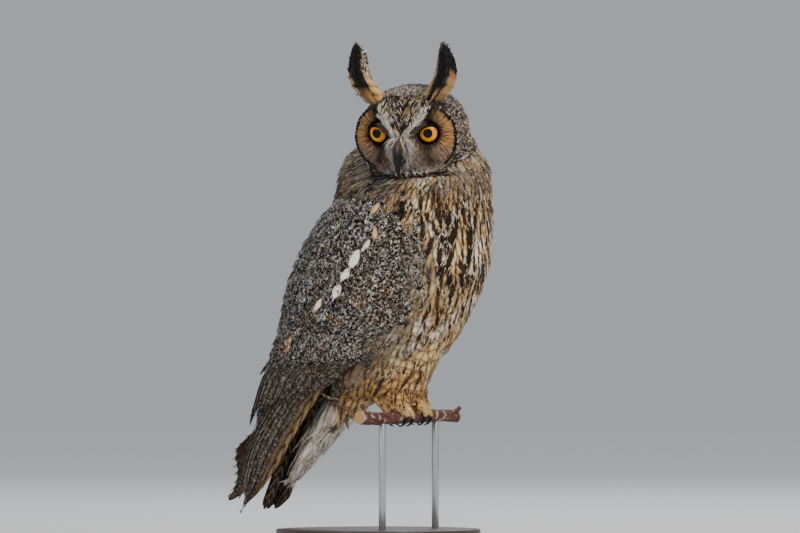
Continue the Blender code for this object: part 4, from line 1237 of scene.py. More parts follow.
def makeWings():
    for side, word in ((-1, "right"), (1, "left")):
        base = 200 + side * 10
        sets = [wingVanes(side, wingRows["primaries"], primaryLook if side < 0 else plainLook, base)]
        sets.append(wingVanes(side, wingRows["secondaries"], secondaryLook, base + 1))
        if side > 0:
            sets.append(fringe(sets[0], base + 8, 130, 0.0030, 0.0005, 0.45, 9, True))
        sets.append(fringe(sets[1], base + 9, 60, 0.0030, 0.0005, 0.5, 4))
        nodes = [f"wing_{word}_{name}" for name in ("secondaries", "primaries")]
        makeCoat(f"wing_{word}_flight", sets, unwrapWing, "flight_feathers", nodes)
        sets = [wingVanes(side, wingRows["greater"], greaterLook, base + 2)]
        sets.append(wingVanes(side, wingRows["median"], greaterLook, base + 3))
        sets += [fringe(one, base + 5 + k, 70, 0.0036, 0.0006, 0.35, 5) for k, one in enumerate(sets[:])]
        makeCoat(f"wing_{word}_coverts", sets, unwrapWing, "plumage", [f"wing_{word}_arm"])


makeWings()

# tail

print("tail")
tail = {
    "root": (-0.0965, 0.1210), "tip": (-0.1362, 0.0262), "step": 0.00095, "width": 0.0130, "pairs": 6,
    "outline": (0.5, 0.74, 0.84, 0.90, 0.94, 0.96, 1, 1, 1, 0.93, 0.76, 0.40),
}


def tailPlace(x, along, out):
    root, end = np.array(tail["root"]), np.array(tail["tip"])
    ahead = (end - root) / np.linalg.norm(end - root)
    back = np.array([ahead[1], -ahead[0]])
    x, along, out = np.broadcast_arrays(x, along, out)
    return toWorld(x, root[0] + ahead[0] * along + back[0] * out, root[1] + ahead[1] * along + back[1] * out)


def makeTail():
    draw = np.random.default_rng(301)
    long = np.linalg.norm(np.subtract(tail["tip"], tail["root"]))
    sets = []
    for side in (-1, 1):
        pair = np.arange(tail["pairs"])
        layer = tail["pairs"] - pair + np.where((pair == 0) & (side > 0), 1, 0)
        out = 0.0009 + tail["step"] * (layer - 1)
        spread = pair / (tail["pairs"] - 1)
        rootX = np.where(pair == 0, 0.0012, mix(0.0050, 0.0062, spread))
        tipX = np.where(pair == 0, 0.0016, mix(0.0069, 0.0112, spread))
        reach = long * (1 - 0.07 * spread**2)
        count = len(pair)
        s, c = featherShares(count, wing["along"], (-1, -0.6, -0.2, -0.06, 0, 0.06, 0.4, 0.75, 1))
        s[:, -1] -= 0.030 * c[:, -1] ** 2
        s[:, -2] -= 0.012 * c[:, -2] ** 2
        wide = np.array(tail["outline"])[None, :, None] * (1 + draw.normal(0, 0.02, s.shape))
        middle = side * mix(rootX[:, None, None], tipX[:, None, None], s)
        x = middle + c * wide * tail["width"] / 2
        lift = out[:, None, None] - 0.0003 * c**2 + 0.0003 * (np.abs(c) < 0.03)
        places = tailPlace(x, reach[:, None, None] * s, lift)
        normals = np.broadcast_to(tailPlace(0.0, 0.0, 1.0) - tailPlace(0.0, 0.0, 0.0), places.shape)
        tags = np.stack([c, s, chanceFor(draw, s)], -1)
        look = ordinaryLook(count, "black", "buff", "ash", 0.0, 0.40, 0.15)
        look["mark"] = tint(look["mark"], "brown", 0.45 + 0.3 * (1 - spread))
        look["bands"] = np.full(count, 10.0)
        sets.append(vaneSet(places, normals, tags, reach, np.full(count, tail["width"]), look,
                            wing["vane"], places[:, 1, 4]))
    makeCoat("tail_feathers", sets, unwrapTail, "flight_feathers", ["tail"])


def unwrapTail(points):
    return np.stack([0.5 + points[:, 0] * 12, (points[:, 2] - 0.02) / 0.14], -1)


makeTail()

# ear tufts

print("ear tufts")
tufts = {
    -1: {"word": "right", "root": 0.0242, "lean": 0.0162},
    1: {"word": "left", "root": 0.0170, "lean": 0.0150},
    "length": 0.0460, "forward": 0.0205, "up": 0.0235, "count": 26, "halfWidth": 0.0096, "width": 0.0060,
    "layer": 0.00032,
}


def makeTuft(side):
    shape = tufts[side]
    draw = np.random.default_rng(400 + side)
    count = tufts["count"]
    order = np.arange(count)
    step = (order + 1) // 2 * np.where(order % 2, 1, -1)
    spread = (step / (count // 2))[:, None, None]
    outline = np.array((0.6, 0.85, 1.0, 1.0, 0.98, 0.90, 0.72, 0.40))
    s, c = featherShares(count, (0, 0.15, 0.32, 0.5, 0.66, 0.8, 0.91, 1.0), (-1, -0.5, 0, 0.5, 1))
    s[:, -1] -= 0.03 * c[:, -1] ** 2
    length = tufts["length"] * (1 - 0.16 * np.abs(spread) ** 1.8) * draw.uniform(0.90, 1.03, (count, 1, 1))
    lean = shape["lean"] * np.sin(np.minimum(s, 0.7) / 0.7 * math.pi / 2)
    apart = spread * tufts["halfWidth"] * mix(1.0, 0.46, s) + draw.normal(0, 0.0007, (count, 1, 1)) * s
    x = shape["root"] + lean + apart + c * outline[None, :, None] * tufts["width"] / 2
    ahead = (tufts["forward"] - tufts["layer"] * order[:, None, None] - 0.0065 * s**2
             - 0.0007 * c**2 + draw.normal(0, 0.0006, (count, 1, 1)) * s)
    places = onHead(side * x, ahead, tufts["up"] + length * s)
    normals = np.broadcast_to(headWay(0.0, 1.0, 0.0), places.shape)
    tags = np.stack([c, s, chanceFor(draw, s)], -1)
    look = ordinaryLook(count, "black", "black", "white", 0.0, 0.0, 0.0)
    look["bands"] = np.full(count, 1.0)
    one = vaneSet(places, normals, tags, length[:, 0, 0], np.full(count, tufts["width"]), look,
                  0.00022, places[:, 0, 2])
    one["look"] = tuftLook(one, look, spread[:, :, 0], draw)
    sides = fringe(one, 410 + side, 46, 0.0036, 0.00050, 0.26, 7, True)
    tips = fringe(one, 420 + side, 16, 0.0040, 0.00055, 0.50, 3)
    if side < 0:
        one = flipped(one)
    word = shape["word"]
    makeCoat(f"tuft_{word}", [one, sides, tips], unwrapHead, "plumage", [f"ear_tuft_{word}"])


def tuftLook(one, look, spread, draw):
    # black in the middle and outside, tawny at the foot and edges, white speckles inside near the tip
    s = one["tags"][..., 1]
    across = spread + one["tags"][..., 0] * 0.16 + draw.normal(0, 0.03, s.shape)
    outer = 0.7 * eased((across - 0.52) / 0.18) * eased((0.66 - s) / 0.2)
    inner = eased((-across - 0.30) / 0.22)
    foot = eased((0.26 - s) / 0.2) * (draw.random((len(s), 1)) > 0.3)
    warm = np.maximum.reduce([outer, inner, foot * 0.8])
    ground = tone["black"] + (tone["orangeBuff"] - tone["black"]) * warm[..., None] * 0.9
    ground = ground + (tone["cream"] - ground) * (draw.uniform(0.15, 0.6, (len(s), 1)) * warm)[..., None]
    white = inner * eased((s - 0.42) / 0.2)
    ground = ground + (tone["darkBrown"] - ground) * (white * 0.9)[..., None]
    dark = np.stack([np.full(s.shape, 0.0), np.full(s.shape, 0.0), np.minimum(1.3 * white, 1)], -1)
    wide = {key: np.repeat(look[key][:, None], s.shape[1], axis=1) for key in ("mark", "pale", "bands")}
    return {**wide, "ground": ground, "drawn": dark}


makeTuft(-1)
makeTuft(1)

# coat on the head

print("head")
headCoat = {  # length, width and gap of each part's feathers, in metres
    "crown": (0.0072, 0.0034, 0.0019),
    "ruff": (0.0062, 0.0026, 0.0014),
    "disc": (0.0078, 0.0008, 0.00092),
}


def headPart(points, name):
    _, _, forward, _, reach, fromEye = headPlaces(points)
    onIt = isHead(points)
    face = (reach < 0.985) & (forward > 0.0155)
    ruff = ~face & (reach < 1.16) & (forward > 0.004)
    if name == "disc":
        return onIt & face & (fromEye > 0.0086)
    if name == "ruff":
        return onIt & ruff
    return onIt & ~face & ~ruff


def makeRim():
    # short stiff feathers round the face, black in front with grey and white ones behind them
    sets = []
    for row, (reach, count, length, seed) in enumerate(((0.985, 190, 0.0040, 541), (1.03, 200, 0.0052, 543))):
        draw = np.random.default_rng(seed)
        turn = np.linspace(0, math.tau, count, endpoint=False) + draw.normal(0, 0.01, count)
        x, up = np.sin(turn), np.cos(turn)
        x = np.abs(x) ** (2 / head["discCurve"]) * np.sign(x) * head["discHalfWidth"] * reach
        up = np.abs(up) ** (2 / head["discCurve"]) * np.sign(up) * head["discHalfHeight"] * reach
        up = up + head["discUp"]
        keep = (up < 0.022) & ((np.abs(x) > 0.012) | (up < 0))
        x, up = x[keep], up[keep]
        roots, normals = settle(onHead(x, 0.030, up))
        lies = headWay(x / head["discHalfWidth"], 0.10 + 0 * x, (up - head["discUp"]) / head["discHalfHeight"])
        lengths = length * draw.uniform(0.85, 1.15, len(roots))
        look = ordinaryLook(len(roots), "black", "black", "ash", 0.0, 0.0, 0.0)
        if row:
            look["ground"] = tint(look["ground"], "ash", 0.8 * (draw.random(len(roots)) > 0.4))
            look["ground"] = tint(look["ground"], "brown", 0.8 * (up < -0.016))
        shape = {**smallContour, "seed": seed + 1, "sink": 0.0006, "proud": 0.0014 - 0.0006 * row}
        sets.append(bodyFeathers(roots, normals, lies, lengths, np.full(len(roots), 0.0026), look, shape))
    makeCoat("face_rim", sets, unwrapHead, "plumage")


def makeHeadCoat():
    length, width, gap = headCoat["crown"]
    roots, normals = scatter(lambda p: headPart(p, "crown"), gap, 501)
    draw = np.random.default_rng(502)
    scale = draw.normal(1, 0.12, len(roots))
    crown = bodyFeathers(roots, normals, headLie(roots), length * scale, width * scale, headLook(roots, 503),
                         {**smallContour, "seed": 504})
    makeCoat("coat_crown", [crown], unwrapHead, "plumage")
    length, width, gap = headCoat["ruff"]
    roots, normals = scatter(lambda p: headPart(p, "ruff"), gap, 511)
    full = np.ones(len(roots))
    ruff = bodyFeathers(roots, normals, headLie(roots), full * length, full * width, headLook(roots, 512),
                        {**smallContour, "seed": 513, "proud": 0.0010})
    makeCoat("coat_ruff", [ruff], unwrapHead, "plumage")
    length, width, gap = headCoat["disc"]
    roots, normals = scatter(lambda p: headPart(p, "disc"), gap, 521)
    draw = np.random.default_rng(522)
    lengths = length * draw.uniform(0.75, 1.2, len(roots))
    lengths = np.minimum(lengths, 0.0015 + 0.038 * np.maximum(0, 1.02 - headPlaces(roots)[4]))
    shape = {"seed": 523, "stray": 0.14, "along": (0, 0.35, 0.7, 1.0), "outline": (0.8, 1.0, 0.7, 0.0),
             "bow": 0.10, "sink": 0.0010, "proud": 0.0005, "rise": 0.8, "loose": 0.0004}
    look = headLook(roots, 524)
    makeRim()
    isLeft = roots @ headTurn[:, 0] > headMiddle @ headTurn[:, 0]
    for word, half in (("left", isLeft), ("right", ~isLeft)):
        some = {key: value[half] for key, value in look.items()}
        locks = hairLocks(roots[half], normals[half], headLie(roots[half]), lengths[half],
                          np.full(half.sum(), width), some, shape)
        makeCoat(f"disc_{word}", [locks], unwrapHead, "plumage")


makeHeadCoat()

# eyes, lids and bill

print("eyes and bill")


def eyeFrame(side):
    turn = eyes["outward"]
    ahead = headWay(side * math.sin(turn), math.cos(turn), 0.0)
    across = headWay(math.cos(turn), -side * math.sin(turn), 0.0)
    up = headWay(0.0, 0.0, 1.0)
    middle = onHead(side * eyes["spread"], eyes["forward"], eyes["up"])
    return middle, across, up, ahead


def eyeMaterial():
    # A moist cornea over an iris with fine spokes: a sharp glint on orange yellow, deep black pupil, and painted
    # shade darkening the iris towards its top
    material, tree, shader = newMaterial("moist cornea over iris", 0.30, Coat_Weight=0.4,
                                         Coat_Roughness=0.02, Specular_IOR_Level=0.0)
    gaze = addNode(tree, "Attribute", out="Vector", attribute_name="gaze")
    reach = addNode(tree, "VectorMath", [gaze], "Value", operation="LENGTH")
    way = addNode(tree, "VectorMath", [gaze], "Vector", operation="NORMALIZE")
    spokes = addNode(tree, "TexNoise", {"Vector": way, "Scale": 16.0, "Detail": 3.0})
    # painted shade: the iris darkens to the top colour towards its top, where the brow shades it
    high = addNode(tree, "SeparateXYZ", [gaze], 1)
    high = addNode(tree, "Math", [high, 0.6, 0.25], operation="MULTIPLY_ADD", use_clamp=True)
    iris = addNode(tree, "Mix", {0: high, 6: colour(eyes["inner"]), 7: colour(eyes["top"])}, 2, data_type="RGBA")
    # each layer starts at a value, grows this fast and has this colour
    for value, start, growth, code in ((reach, 0.72, 3.0, "outer"), (spokes, 0.5, 1.6, "top"),
                                       (reach, 0.94, 16.0, "limbus")):
        share = addNode(tree, "Math", [value, start], operation="SUBTRACT")
        share = addNode(tree, "Math", [share, growth], operation="MULTIPLY", use_clamp=True)
        iris = addNode(tree, "Mix", {0: share, 6: iris, 7: colour(eyes[code])}, 2, data_type="RGBA")
    pupil = addNode(tree, "Math", [eyes["pupil"] / eyes["iris"], reach], operation="SUBTRACT")
    pupil = addNode(tree, "Math", [pupil, 30.0, 0.5], operation="MULTIPLY_ADD", use_clamp=True)
    iris = addNode(tree, "Mix", {0: pupil, 6: iris, 7: colour(eyes["black"])}, 2, data_type="RGBA")
    tree.links.new(iris, shader.inputs["Base Color"])
    return material


cornea = eyeMaterial()
# Bare skin of the lids: dull and nearly black, so that it frames the eye
darkSkin = newMaterial("bare dark skin", 0.75, Specular_IOR_Level=0.08, Base_Color=colour("0A0706"))[0]


def makeEye(side, word):
    deselect()
    bpy.ops.mesh.primitive_uv_sphere_add(segments=56, ring_count=36, radius=1.0, location=(0, 0, 0))
    ball = bpy.context.active_object
    ball.name = f"eye_{word}_ball"
    local = meshPoints(ball)
    middle, across, up, ahead = eyeFrame(side)
    off = np.hypot(local[:, 0], local[:, 1]) * eyes["radius"] / eyes["iris"]
    bulge = np.where(local[:, 2] > 0, np.maximum(0, 1 - off**2) ** 2, 0) * eyes["bulge"]
    local = local * (eyes["radius"] + bulge)[:, None]
    gaze = np.stack([local[:, 0], local[:, 1], np.minimum(local[:, 2], 0) * 3], -1) / eyes["iris"]
    points = middle + local[:, :1] * across + local[:, 1:2] * up + local[:, 2:] * ahead
    ball.data.vertices.foreach_set("co", points.reshape(-1))
    storeOnPoints(ball.data, "gaze", gaze)
    recalculate(ball)
    smoothShade(ball)
    dress(ball, "eyes", cornea, f"eye_{word}")
    deselect()
    bpy.ops.mesh.primitive_torus_add(major_radius=1.0, minor_radius=0.1, major_segments=64, minor_segments=12)
    lid = bpy.context.active_object
    lid.name = f"lid_{word}"
    local = meshPoints(lid)
    turn = np.arctan2(local[:, 1], local[:, 0])
    ring = np.hypot(local[:, 0], local[:, 1]) - 1
    frown = eyes["frown"] * np.maximum(0, np.cos(turn - math.radians(90 + side * 20))) ** 1.4
    inner = eyes["lidRadius"] * (1 - frown) - eyes["lidThick"] * 0.7
    wide = mix(inner, eyes["lidRadius"] + eyes["lidThick"], ring / 0.2 + 0.5)
    out = np.sqrt(eyes["radius"] ** 2 - np.minimum(wide, 0.0095) ** 2)
    out = out + local[:, 2] / 0.1 * eyes["lidThick"] * 0.6
    spot = np.stack([np.cos(turn) * wide, np.sin(turn) * wide, out + 0.0005], -1)
    points = middle + spot[:, :1] * across + spot[:, 1:2] * up + spot[:, 2:] * ahead
    lid.data.vertices.foreach_set("co", points.reshape(-1))
    recalculate(lid)
    smoothShade(lid)
    dress(lid, "horn", darkSkin)


makeEye(-1, "right")
makeEye(1, "left")

bill = {
    # forward, up, half width and half height from the root to the tip
    "upper": (
        (0.0280, -0.0060, 0.0044, 0.0060),
        (0.0350, -0.0058, 0.0043, 0.0064),
        (0.0420, -0.0064, 0.0040, 0.0060),
        (0.0470, -0.0098, 0.0037, 0.0053),
        (0.0497, -0.0160, 0.0032, 0.0043),
        (0.0494, -0.0230, 0.0021, 0.0027),
        (0.0474, -0.0282, 0.0011, 0.0012),
        (0.0460, -0.0302, 0.0004, 0.0004),
    ),
    "lower": (
        (0.0300, -0.0163, 0.0046, 0.0034),
        (0.0385, -0.0178, 0.0042, 0.0030),
        (0.0420, -0.0200, 0.0028, 0.0020),
        (0.0440, -0.0222, 0.0010, 0.0008),
    ),
    "dark": "0B0A09", "cere": "54473B", "grain": 1.1111,  # grain in mm
}


def hornMaterial():
    # Keratin grown in layers: satin and nearly black, with faint grain
    material, tree, shader = newMaterial("layered dark horn", 0.42, Coat_Weight=0.1, Coat_Roughness=0.25,
                                         Specular_IOR_Level=0.22)
    along = addNode(tree, "Attribute", out="Fac", attribute_name="along")
    place = addNode(tree, "TexCoord", out="Object")
    grain = addNode(tree, "TexNoise", {"Vector": place, "Scale": 1000 / bill["grain"], "Detail": 3.0})
    share = addNode(tree, "Math", [along, -3.2, 1.65], operation="MULTIPLY_ADD")
    speck = addNode(tree, "Math", [grain, 0.5], operation="SUBTRACT")
    share = addNode(tree, "Math", [speck, 0.5, share], operation="MULTIPLY_ADD", use_clamp=True)
    shade = addNode(tree, "Mix", {0: share, 6: colour(bill["dark"]), 7: colour(bill["cere"])}, 2,
                    data_type="RGBA")
    tree.links.new(shade, shader.inputs["Base Color"])
    bump = addNode(tree, "Bump", {"Strength": 0.15, "Distance": 0.0002, "Height": grain})
    tree.links.new(bump, shader.inputs["Normal"])
    return material


def makeBillPart(name, rows, sharp, node):
    rows = np.array(rows)
    steps, sides = 30, 28
    place = np.linspace(0, len(rows) - 1, steps)
    table = np.column_stack([np.arange(len(rows)), rows])
    forward, up, wide, high = readSmoothly(table, place).T
    ahead = unit(np.stack([np.gradient(forward), np.gradient(up)], -1))
    turn = np.linspace(0, math.tau, sides, endpoint=False)
    x = np.sin(turn) * (1 - sharp * np.maximum(0, np.cos(turn)) ** 2)
    rise = np.cos(turn)[None] * high[:, None]
    spot = onHead(x[None] * wide[:, None], forward[:, None] - ahead[:, 1:] * rise,
                  up[:, None] + ahead[:, :1] * rise)
    points = spot.reshape(-1, 3).tolist()
    faces = []
    for start in range(0, (steps - 1) * sides, sides):
        for k in range(sides):
            after = (k + 1) % sides
            faces.append((start + k, start + after, start + sides + after, start + sides + k))
    faces += [list(range(sides))[::-1], list(range((steps - 1) * sides, steps * sides))]
    mesh = bpy.data.meshes.new(name)
    mesh.from_pydata(points, [], faces)
    made = newObject(name, mesh)
    storeOnPoints(mesh, "along", np.repeat(np.linspace(0, 1, steps), sides))
    recalculate(made)
    smoothShade(made, 50)
    dress(made, "horn", horn, node)


horn = hornMaterial()
makeBillPart("beak_upper", bill["upper"], 0.34, "bill_upper")
makeBillPart("beak_lower", bill["lower"], 0.0, "bill_lower")

# brows, lashes that also carry painted shade under the brow, and the bristles round the bill

print("brows and bristles")


def freeLocks(roots, starts, ends, lengths, widths, look, seed, out):
    # loose hairs that leave the face: each sets off one way and bends round to another
    draw = np.random.default_rng(seed)
    s = np.array((0, 0.25, 0.5, 0.75, 1.0))
    wide = np.array((0.8, 1.0, 0.85, 0.55, 0.0))
    t = s[None, :, None]
    reach = lengths[:, None, None]
    middle = roots[:, None] + starts[:, None] * (t * reach) + (ends - starts)[:, None] * (t**2 * reach / 2)
    ahead = unit(starts[:, None] * (1 - t) + ends[:, None] * t)
    side = unit(np.cross(np.broadcast_to(out, ahead.shape), ahead))
    half = wide[None, :, None] * widths[:, None, None] / 2
    return lockSet(middle, side, np.cross(ahead, side), half, 0.9, lockTags(s, len(roots), draw), look, roots)


def faceHairs(name, seed, count, start, end, spread, lengths, turnFrom, turnTo, lift, tones, width):
    # hairs rooted along a line on one half of the face and its mirror image; turns in degrees,
    # 0 is outwards and 90 is up
    draw = np.random.default_rng(seed)
    sets = []
    for side in (-1, 1):
        t = draw.random(count)
        off = mix(start[0], end[0], t) + draw.normal(0, spread, count)
        up = mix(start[1], end[1], t) + draw.normal(0, spread, count)
        spot, normal = settle(onHead(side * np.maximum(off, 0.001), 0.046, up))
        spot = spot - normal * 0.0006
        first = np.radians(mix(*turnFrom, t) + draw.normal(0, 9, count))
        last = np.radians(mix(*turnTo, t) + draw.normal(0, 12, count))
        starts = unit(headWay(side * np.cos(first), draw.uniform(0.6, 1.2, count) * lift, np.sin(first)))
        ends = unit(headWay(side * np.cos(last), -0.25 + 0 * last, np.sin(last)))
        look = ordinaryLook(count, "ash", "black", "white", 0.0, 0.0, 0.0)
        dark, light = tones
        look["ground"] = tint(tint(look["ground"], "white", draw.random(count) * light),
                              "black", (draw.random(count) < dark) * 0.85)
        long = mix(*lengths, draw.random(count))
        sets.append(freeLocks(spot, starts, ends, long, np.full(count, width), look, seed + side,
                              headWay(0.0, 1.0, 0.0)))
    makeCoat(name, sets, unwrapHead, "plumage")


faceHairs("brow_hairs", 601, 230, (0.0058, -0.0005), (0.0182, 0.0172), 0.0008, (0.006, 0.0105),
          (62, 50), (70, 40), 0.35, (0.20, 0.8), 0.00050)
faceHairs("bill_bristles", 611, 320, (0.0056, -0.0010), (0.0050, -0.0190), 0.0012, (0.009, 0.0165),
          (-15, -75), (-68, -95), 0.65, (0.22, 0.65), 0.00045)
faceHairs("chin_bristles", 641, 380, (0.0020, -0.0262), (0.0240, -0.0245), 0.0014, (0.006, 0.0100),
          (-86, -58), (-92, -46), 0.7, (0.62, 0.9), 0.00060)
faceHairs("bill_bridge", 621, 260, (0.0006, 0.0030), (0.0046, -0.0060), 0.0008, (0.0095, 0.0165),
          (-62, -70), (-86, -90), 2.2, (0.35, 0.4), 0.00048)
# all-black hairs over the top of the iris: partly dark lashes, partly painted shade under the brow
faceHairs("dark_lashes_and_brow_shade", 631, 260, (0.0108, 0.0060), (0.0205, 0.0122), 0.0008, (0.0055, 0.0090),
          (24, 18), (-6, -16), 0.95, (1.0, 0.0), 0.00055)

# claws, perch and stand

print("claws, perch and stand")


def makeClaws(word):
    nodes = [f"talon_{word}_{i}" for i in (1, 2, 3, 4)]
    made = copyNodes(f"claws_{word}", nodes)
    addModifier(made, "SUBSURF", levels=2, render_levels=2)
    applyAll(made)
    storeOnPoints(made.data, "along", np.full(len(made.data.vertices), 0.8))  # all dark
    smoothShade(made)
    dress(made, "horn", horn, *nodes)


makeClaws("left")
makeClaws("right")

twig = {
    "voxel": 0.0008, "rough": 0.0011, "lump": 0.006, "half": 0.068,  # metres
    "groove": 1.923, "patch": 5.882,  # mm
    "bark": "5A3026", "dark": "2C1814", "lichen": "A9A79C", "wood": "B48A5C",
}


def barkMaterial():
    # Young smooth bark: matt red-brown skin with darker grooves and patches of grey lichen
    material, tree, shader = newMaterial("young twig bark with lichen", 0.82)
    place = addNode(tree, "TexCoord", out="Object")
    stretch = addNode(tree, "Mapping", {"Vector": place, "Scale": (0.25, 1.0, 1.0)})
    groove = addNode(tree, "TexNoise", {"Vector": stretch, "Scale": 1000 / twig["groove"], "Detail": 5.0})
    patch = addNode(tree, "TexNoise", {"Vector": place, "Scale": 1000 / twig["patch"], "Detail": 4.0})
    end = addNode(tree, "SeparateXYZ", [place], 0)
    end = addNode(tree, "Math", [end], operation="ABSOLUTE")
    bark = colour(twig["bark"])
    # each layer starts at a value, grows this fast and has this colour; the last is the cut ends
    for value, start, growth, code in ((groove, 0.47, 5.0, "dark"), (patch, 0.56, 9.0, "lichen"),
                                       (end, twig["half"] - 0.0010, 4000.0, "wood")):
        share = addNode(tree, "Math", [value, start], operation="SUBTRACT")
        share = addNode(tree, "Math", [share, growth], operation="MULTIPLY", use_clamp=True)
        bark = addNode(tree, "Mix", {0: share, 6: bark, 7: colour(twig[code])}, 2, data_type="RGBA")
    tree.links.new(bark, shader.inputs["Base Color"])
    height = addNode(tree, "Math", [patch, 0.6, groove], operation="MULTIPLY_ADD")
    bump = addNode(tree, "Bump", {"Strength": 0.6, "Distance": 0.0008, "Height": height})
    tree.links.new(bump, shader.inputs["Normal"])
    return material


def makePerch():
    made = copyNodes("twig", ["perch"])
    addModifier(made, "REMESH", mode="VOXEL", voxel_size=twig["voxel"])
    addModifier(made, "SMOOTH", iterations=3)
    lumps = bpy.data.textures.new("bark lumps", "CLOUDS")
    lumps.noise_scale = twig["lump"]
    addModifier(made, "DISPLACE", texture=lumps, texture_coords="LOCAL", strength=twig["rough"],
                mid_level=0.6)
    applyAll(made)
    smoothShade(made)
    dress(made, "twig", barkMaterial(), "perch")


makePerch()

base = {
    "radius": 0.082, "thickness": 0.014, "edge": 0.0009,
    "groove": ((0.0028, 0.0), (0.0012, -0.0011), (0.0012, 0.0011)),  # inset and drop of each step
    "grain": 2.2,  # mm
    "light": "4A2E1E", "dark": "24150E",
}
rods = {"radius": 0.0028, "edge": 0.0003, "steel": "B9BABC", "marks": 0.4}  # marks in mm


def woodMaterial():
    # Oil-stained beech: satin, with long fine grain
    material, tree, shader = newMaterial("dark stained beech", 0.46, Coat_Weight=0.2, Coat_Roughness=0.35)
    place = addNode(tree, "TexCoord", out="Object")
    stretch = addNode(tree, "Mapping", {"Vector": place, "Scale": (1.0, 0.06, 1.0)})
    grain = addNode(tree, "TexNoise", {"Vector": stretch, "Scale": 1000 / base["grain"], "Detail": 6.0,
                                       "Roughness": 0.6})
    share = addNode(tree, "Math", [grain, 0.36], operation="SUBTRACT")
    share = addNode(tree, "Math", [share, 3.2], operation="MULTIPLY", use_clamp=True)
    wood = addNode(tree, "Mix", {0: share, 6: colour(base["dark"]), 7: colour(base["light"])}, 2,
                   data_type="RGBA")
    tree.links.new(wood, shader.inputs["Base Color"])
    bump = addNode(tree, "Bump", {"Strength": 0.12, "Distance": 0.0003, "Height": grain})
    tree.links.new(bump, shader.inputs["Normal"])
    return material


def makeBase():
    deselect()
    high = base["thickness"]
    bpy.ops.mesh.primitive_cylinder_add(vertices=96, radius=base["radius"], depth=high,
                                        location=(0, 0, high / 2))
    made = bpy.context.active_object
    made.name = "turned_base"
    toOrigin(made)
    bpy.context.tool_settings.mesh_select_mode = (False, False, True)  # by face
    for face in made.data.polygons:
        face.select = face.normal.z > 0.9
    bpy.ops.object.mode_set(mode="EDIT")
    for width, drop in base["groove"]:
        bpy.ops.mesh.inset(thickness=width)
        bpy.ops.transform.translate(value=(0, 0, drop))
    bpy.ops.object.mode_set(mode="OBJECT")
    addModifier(made, "BEVEL", width=base["edge"], segments=3, limit_method="ANGLE")
    applyAll(made)
    smoothShade(made, 35)
    dress(made, "base_wood", woodMaterial(), "stand_base")


def steelMaterial():
    # Brushed steel rod: the fine turning marks spread its reflections round the rod
    material, tree, shader = newMaterial("brushed steel rod", 0.33, Metallic=1.0,
                                         Base_Color=colour(rods["steel"]))
    place = addNode(tree, "TexCoord", out="Object")
    rings = addNode(tree, "Mapping", {"Vector": place, "Scale": (0.1, 0.1, 1.0)})
    marks = addNode(tree, "TexNoise", {"Vector": rings, "Scale": 1000 / rods["marks"], "Detail": 2.0})
    bump = addNode(tree, "Bump", {"Strength": 0.25, "Distance": 0.0001, "Height": marks})
    tree.links.new(bump, shader.inputs["Normal"])
    return material


def makeRods():
    steel = steelMaterial()
    for word in ("left", "right"):
        node = f"stand_rod_{word}"
        points = meshPoints(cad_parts[node])
        low, high = points.min(axis=0), points.max(axis=0)
        deselect()
        bpy.ops.mesh.primitive_cylinder_add(vertices=40, radius=rods["radius"], depth=high[2] - low[2],
                                            location=(low + high) / 2)
        made = bpy.context.active_object
        made.name = f"rod_{word}"
        toOrigin(made)
        addModifier(made, "BEVEL", width=rods["edge"], segments=2, limit_method="ANGLE")
        applyAll(made)
        smoothShade(made, 35)
        dress(made, "rod_steel", steel, node)


makeBase()
makeRods()

# camera, floor and lights

cameraLook = {"azimuth": -55.0, "distance": 8.0, "lens": 450.0, "middle": (-0.0096, 0.0, 0.2244)}


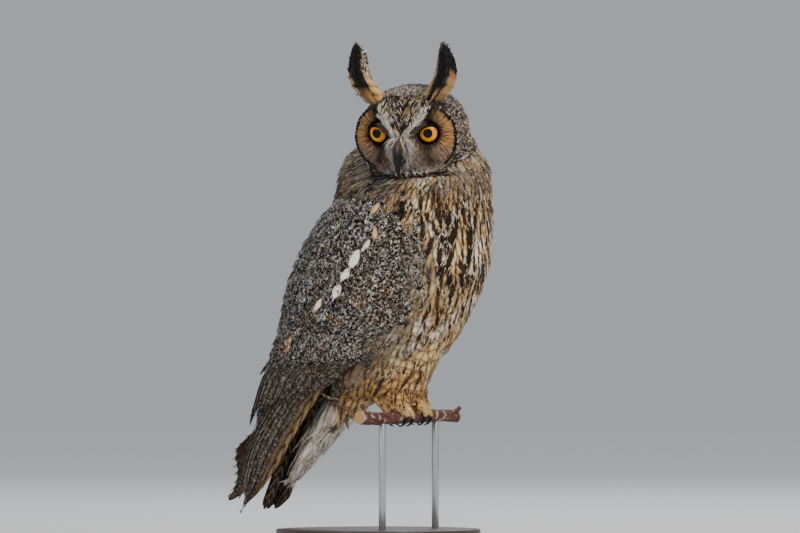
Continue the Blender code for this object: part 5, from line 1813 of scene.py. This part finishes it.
def makeCamera():
    turn = math.radians(cameraLook["azimuth"])
    right = Vector((math.cos(turn), math.sin(turn), 0))
    ahead = Vector((-math.sin(turn), math.cos(turn), 0))
    middle = Vector((0, -body["feetForward"], 0)) + right * cameraLook["middle"][0]
    middle.z = cameraLook["middle"][2]
    data = bpy.data.cameras.new("camera")
    data.lens = cameraLook["lens"]
    data.sensor_width = 36.0
    data.clip_start = 0.1
    data.clip_end = 50.0
    made = newObject("camera", data)
    made.location = middle - ahead * cameraLook["distance"]
    made.rotation_euler = ahead.to_track_quat("-Z", "Y").to_euler()
    bpy.context.scene.camera = made


lightLook = {
    "sky": "E4E9F0", "skyStrength": 0.75, "aim": 0.2,  # the lamps point at this height
    "key": {"place": (-0.55, -1.85, 1.9), "size": 0.9, "power": 58.0, "colour": "FFF1DF"},
    "fill": {"place": (-2.0, 0.3, 1.1), "size": 1.8, "power": 10.0, "colour": "EAF1FF"},
    "rim": {"place": (1.5, 0.6, 1.5), "size": 1.2, "power": 14.0, "colour": "F4F7FF"},
}


def makeLights():
    world = bpy.data.worlds.new("studio")
    bpy.context.scene.world = world
    world.use_nodes = True
    sky = world.node_tree.nodes["Background"]
    sky.inputs[0].default_value = colour(lightLook["sky"])
    sky.inputs[1].default_value = lightLook["skyStrength"]
    for name in ("key", "fill", "rim"):
        look = lightLook[name]
        data = bpy.data.lights.new(name, "AREA")
        data.shape = "DISK"
        data.size = look["size"]
        data.energy = look["power"]
        data.color = toLinear(look["colour"])
        made = newObject(name, data)
        made.location = look["place"]
        way = Vector((0, 0, lightLook["aim"])) - Vector(look["place"])
        made.rotation_euler = way.to_track_quat("-Z", "Y").to_euler()


floorLook = {"size": 44, "flat": 9.0, "paper": "D5D6D6"}  # metres; it rises beyond the flat part


def makeFloor():
    deselect()
    bpy.ops.mesh.primitive_grid_add(x_subdivisions=48, y_subdivisions=48, size=floorLook["size"],
                                    location=(0, 0, 0))
    made = bpy.context.active_object
    made.name = "floor"
    turn = math.radians(cameraLook["azimuth"])
    for point in made.data.vertices:  # the floor rises behind the owl in a soft sweep
        away = -math.sin(turn) * point.co.x + math.cos(turn) * point.co.y
        point.co.z = 0.12 * max(0.0, away - floorLook["flat"]) ** 1.6
    smoothShade(made)
    # Matt paper: an even pale grey that takes soft shadows
    paper = newMaterial("pale paper sweep", 0.9, Base_Color=colour(floorLook["paper"]))[0]
    made.data.materials.append(paper)


print("camera, lights and floor")
makeCamera()
makeLights()
makeFloor()
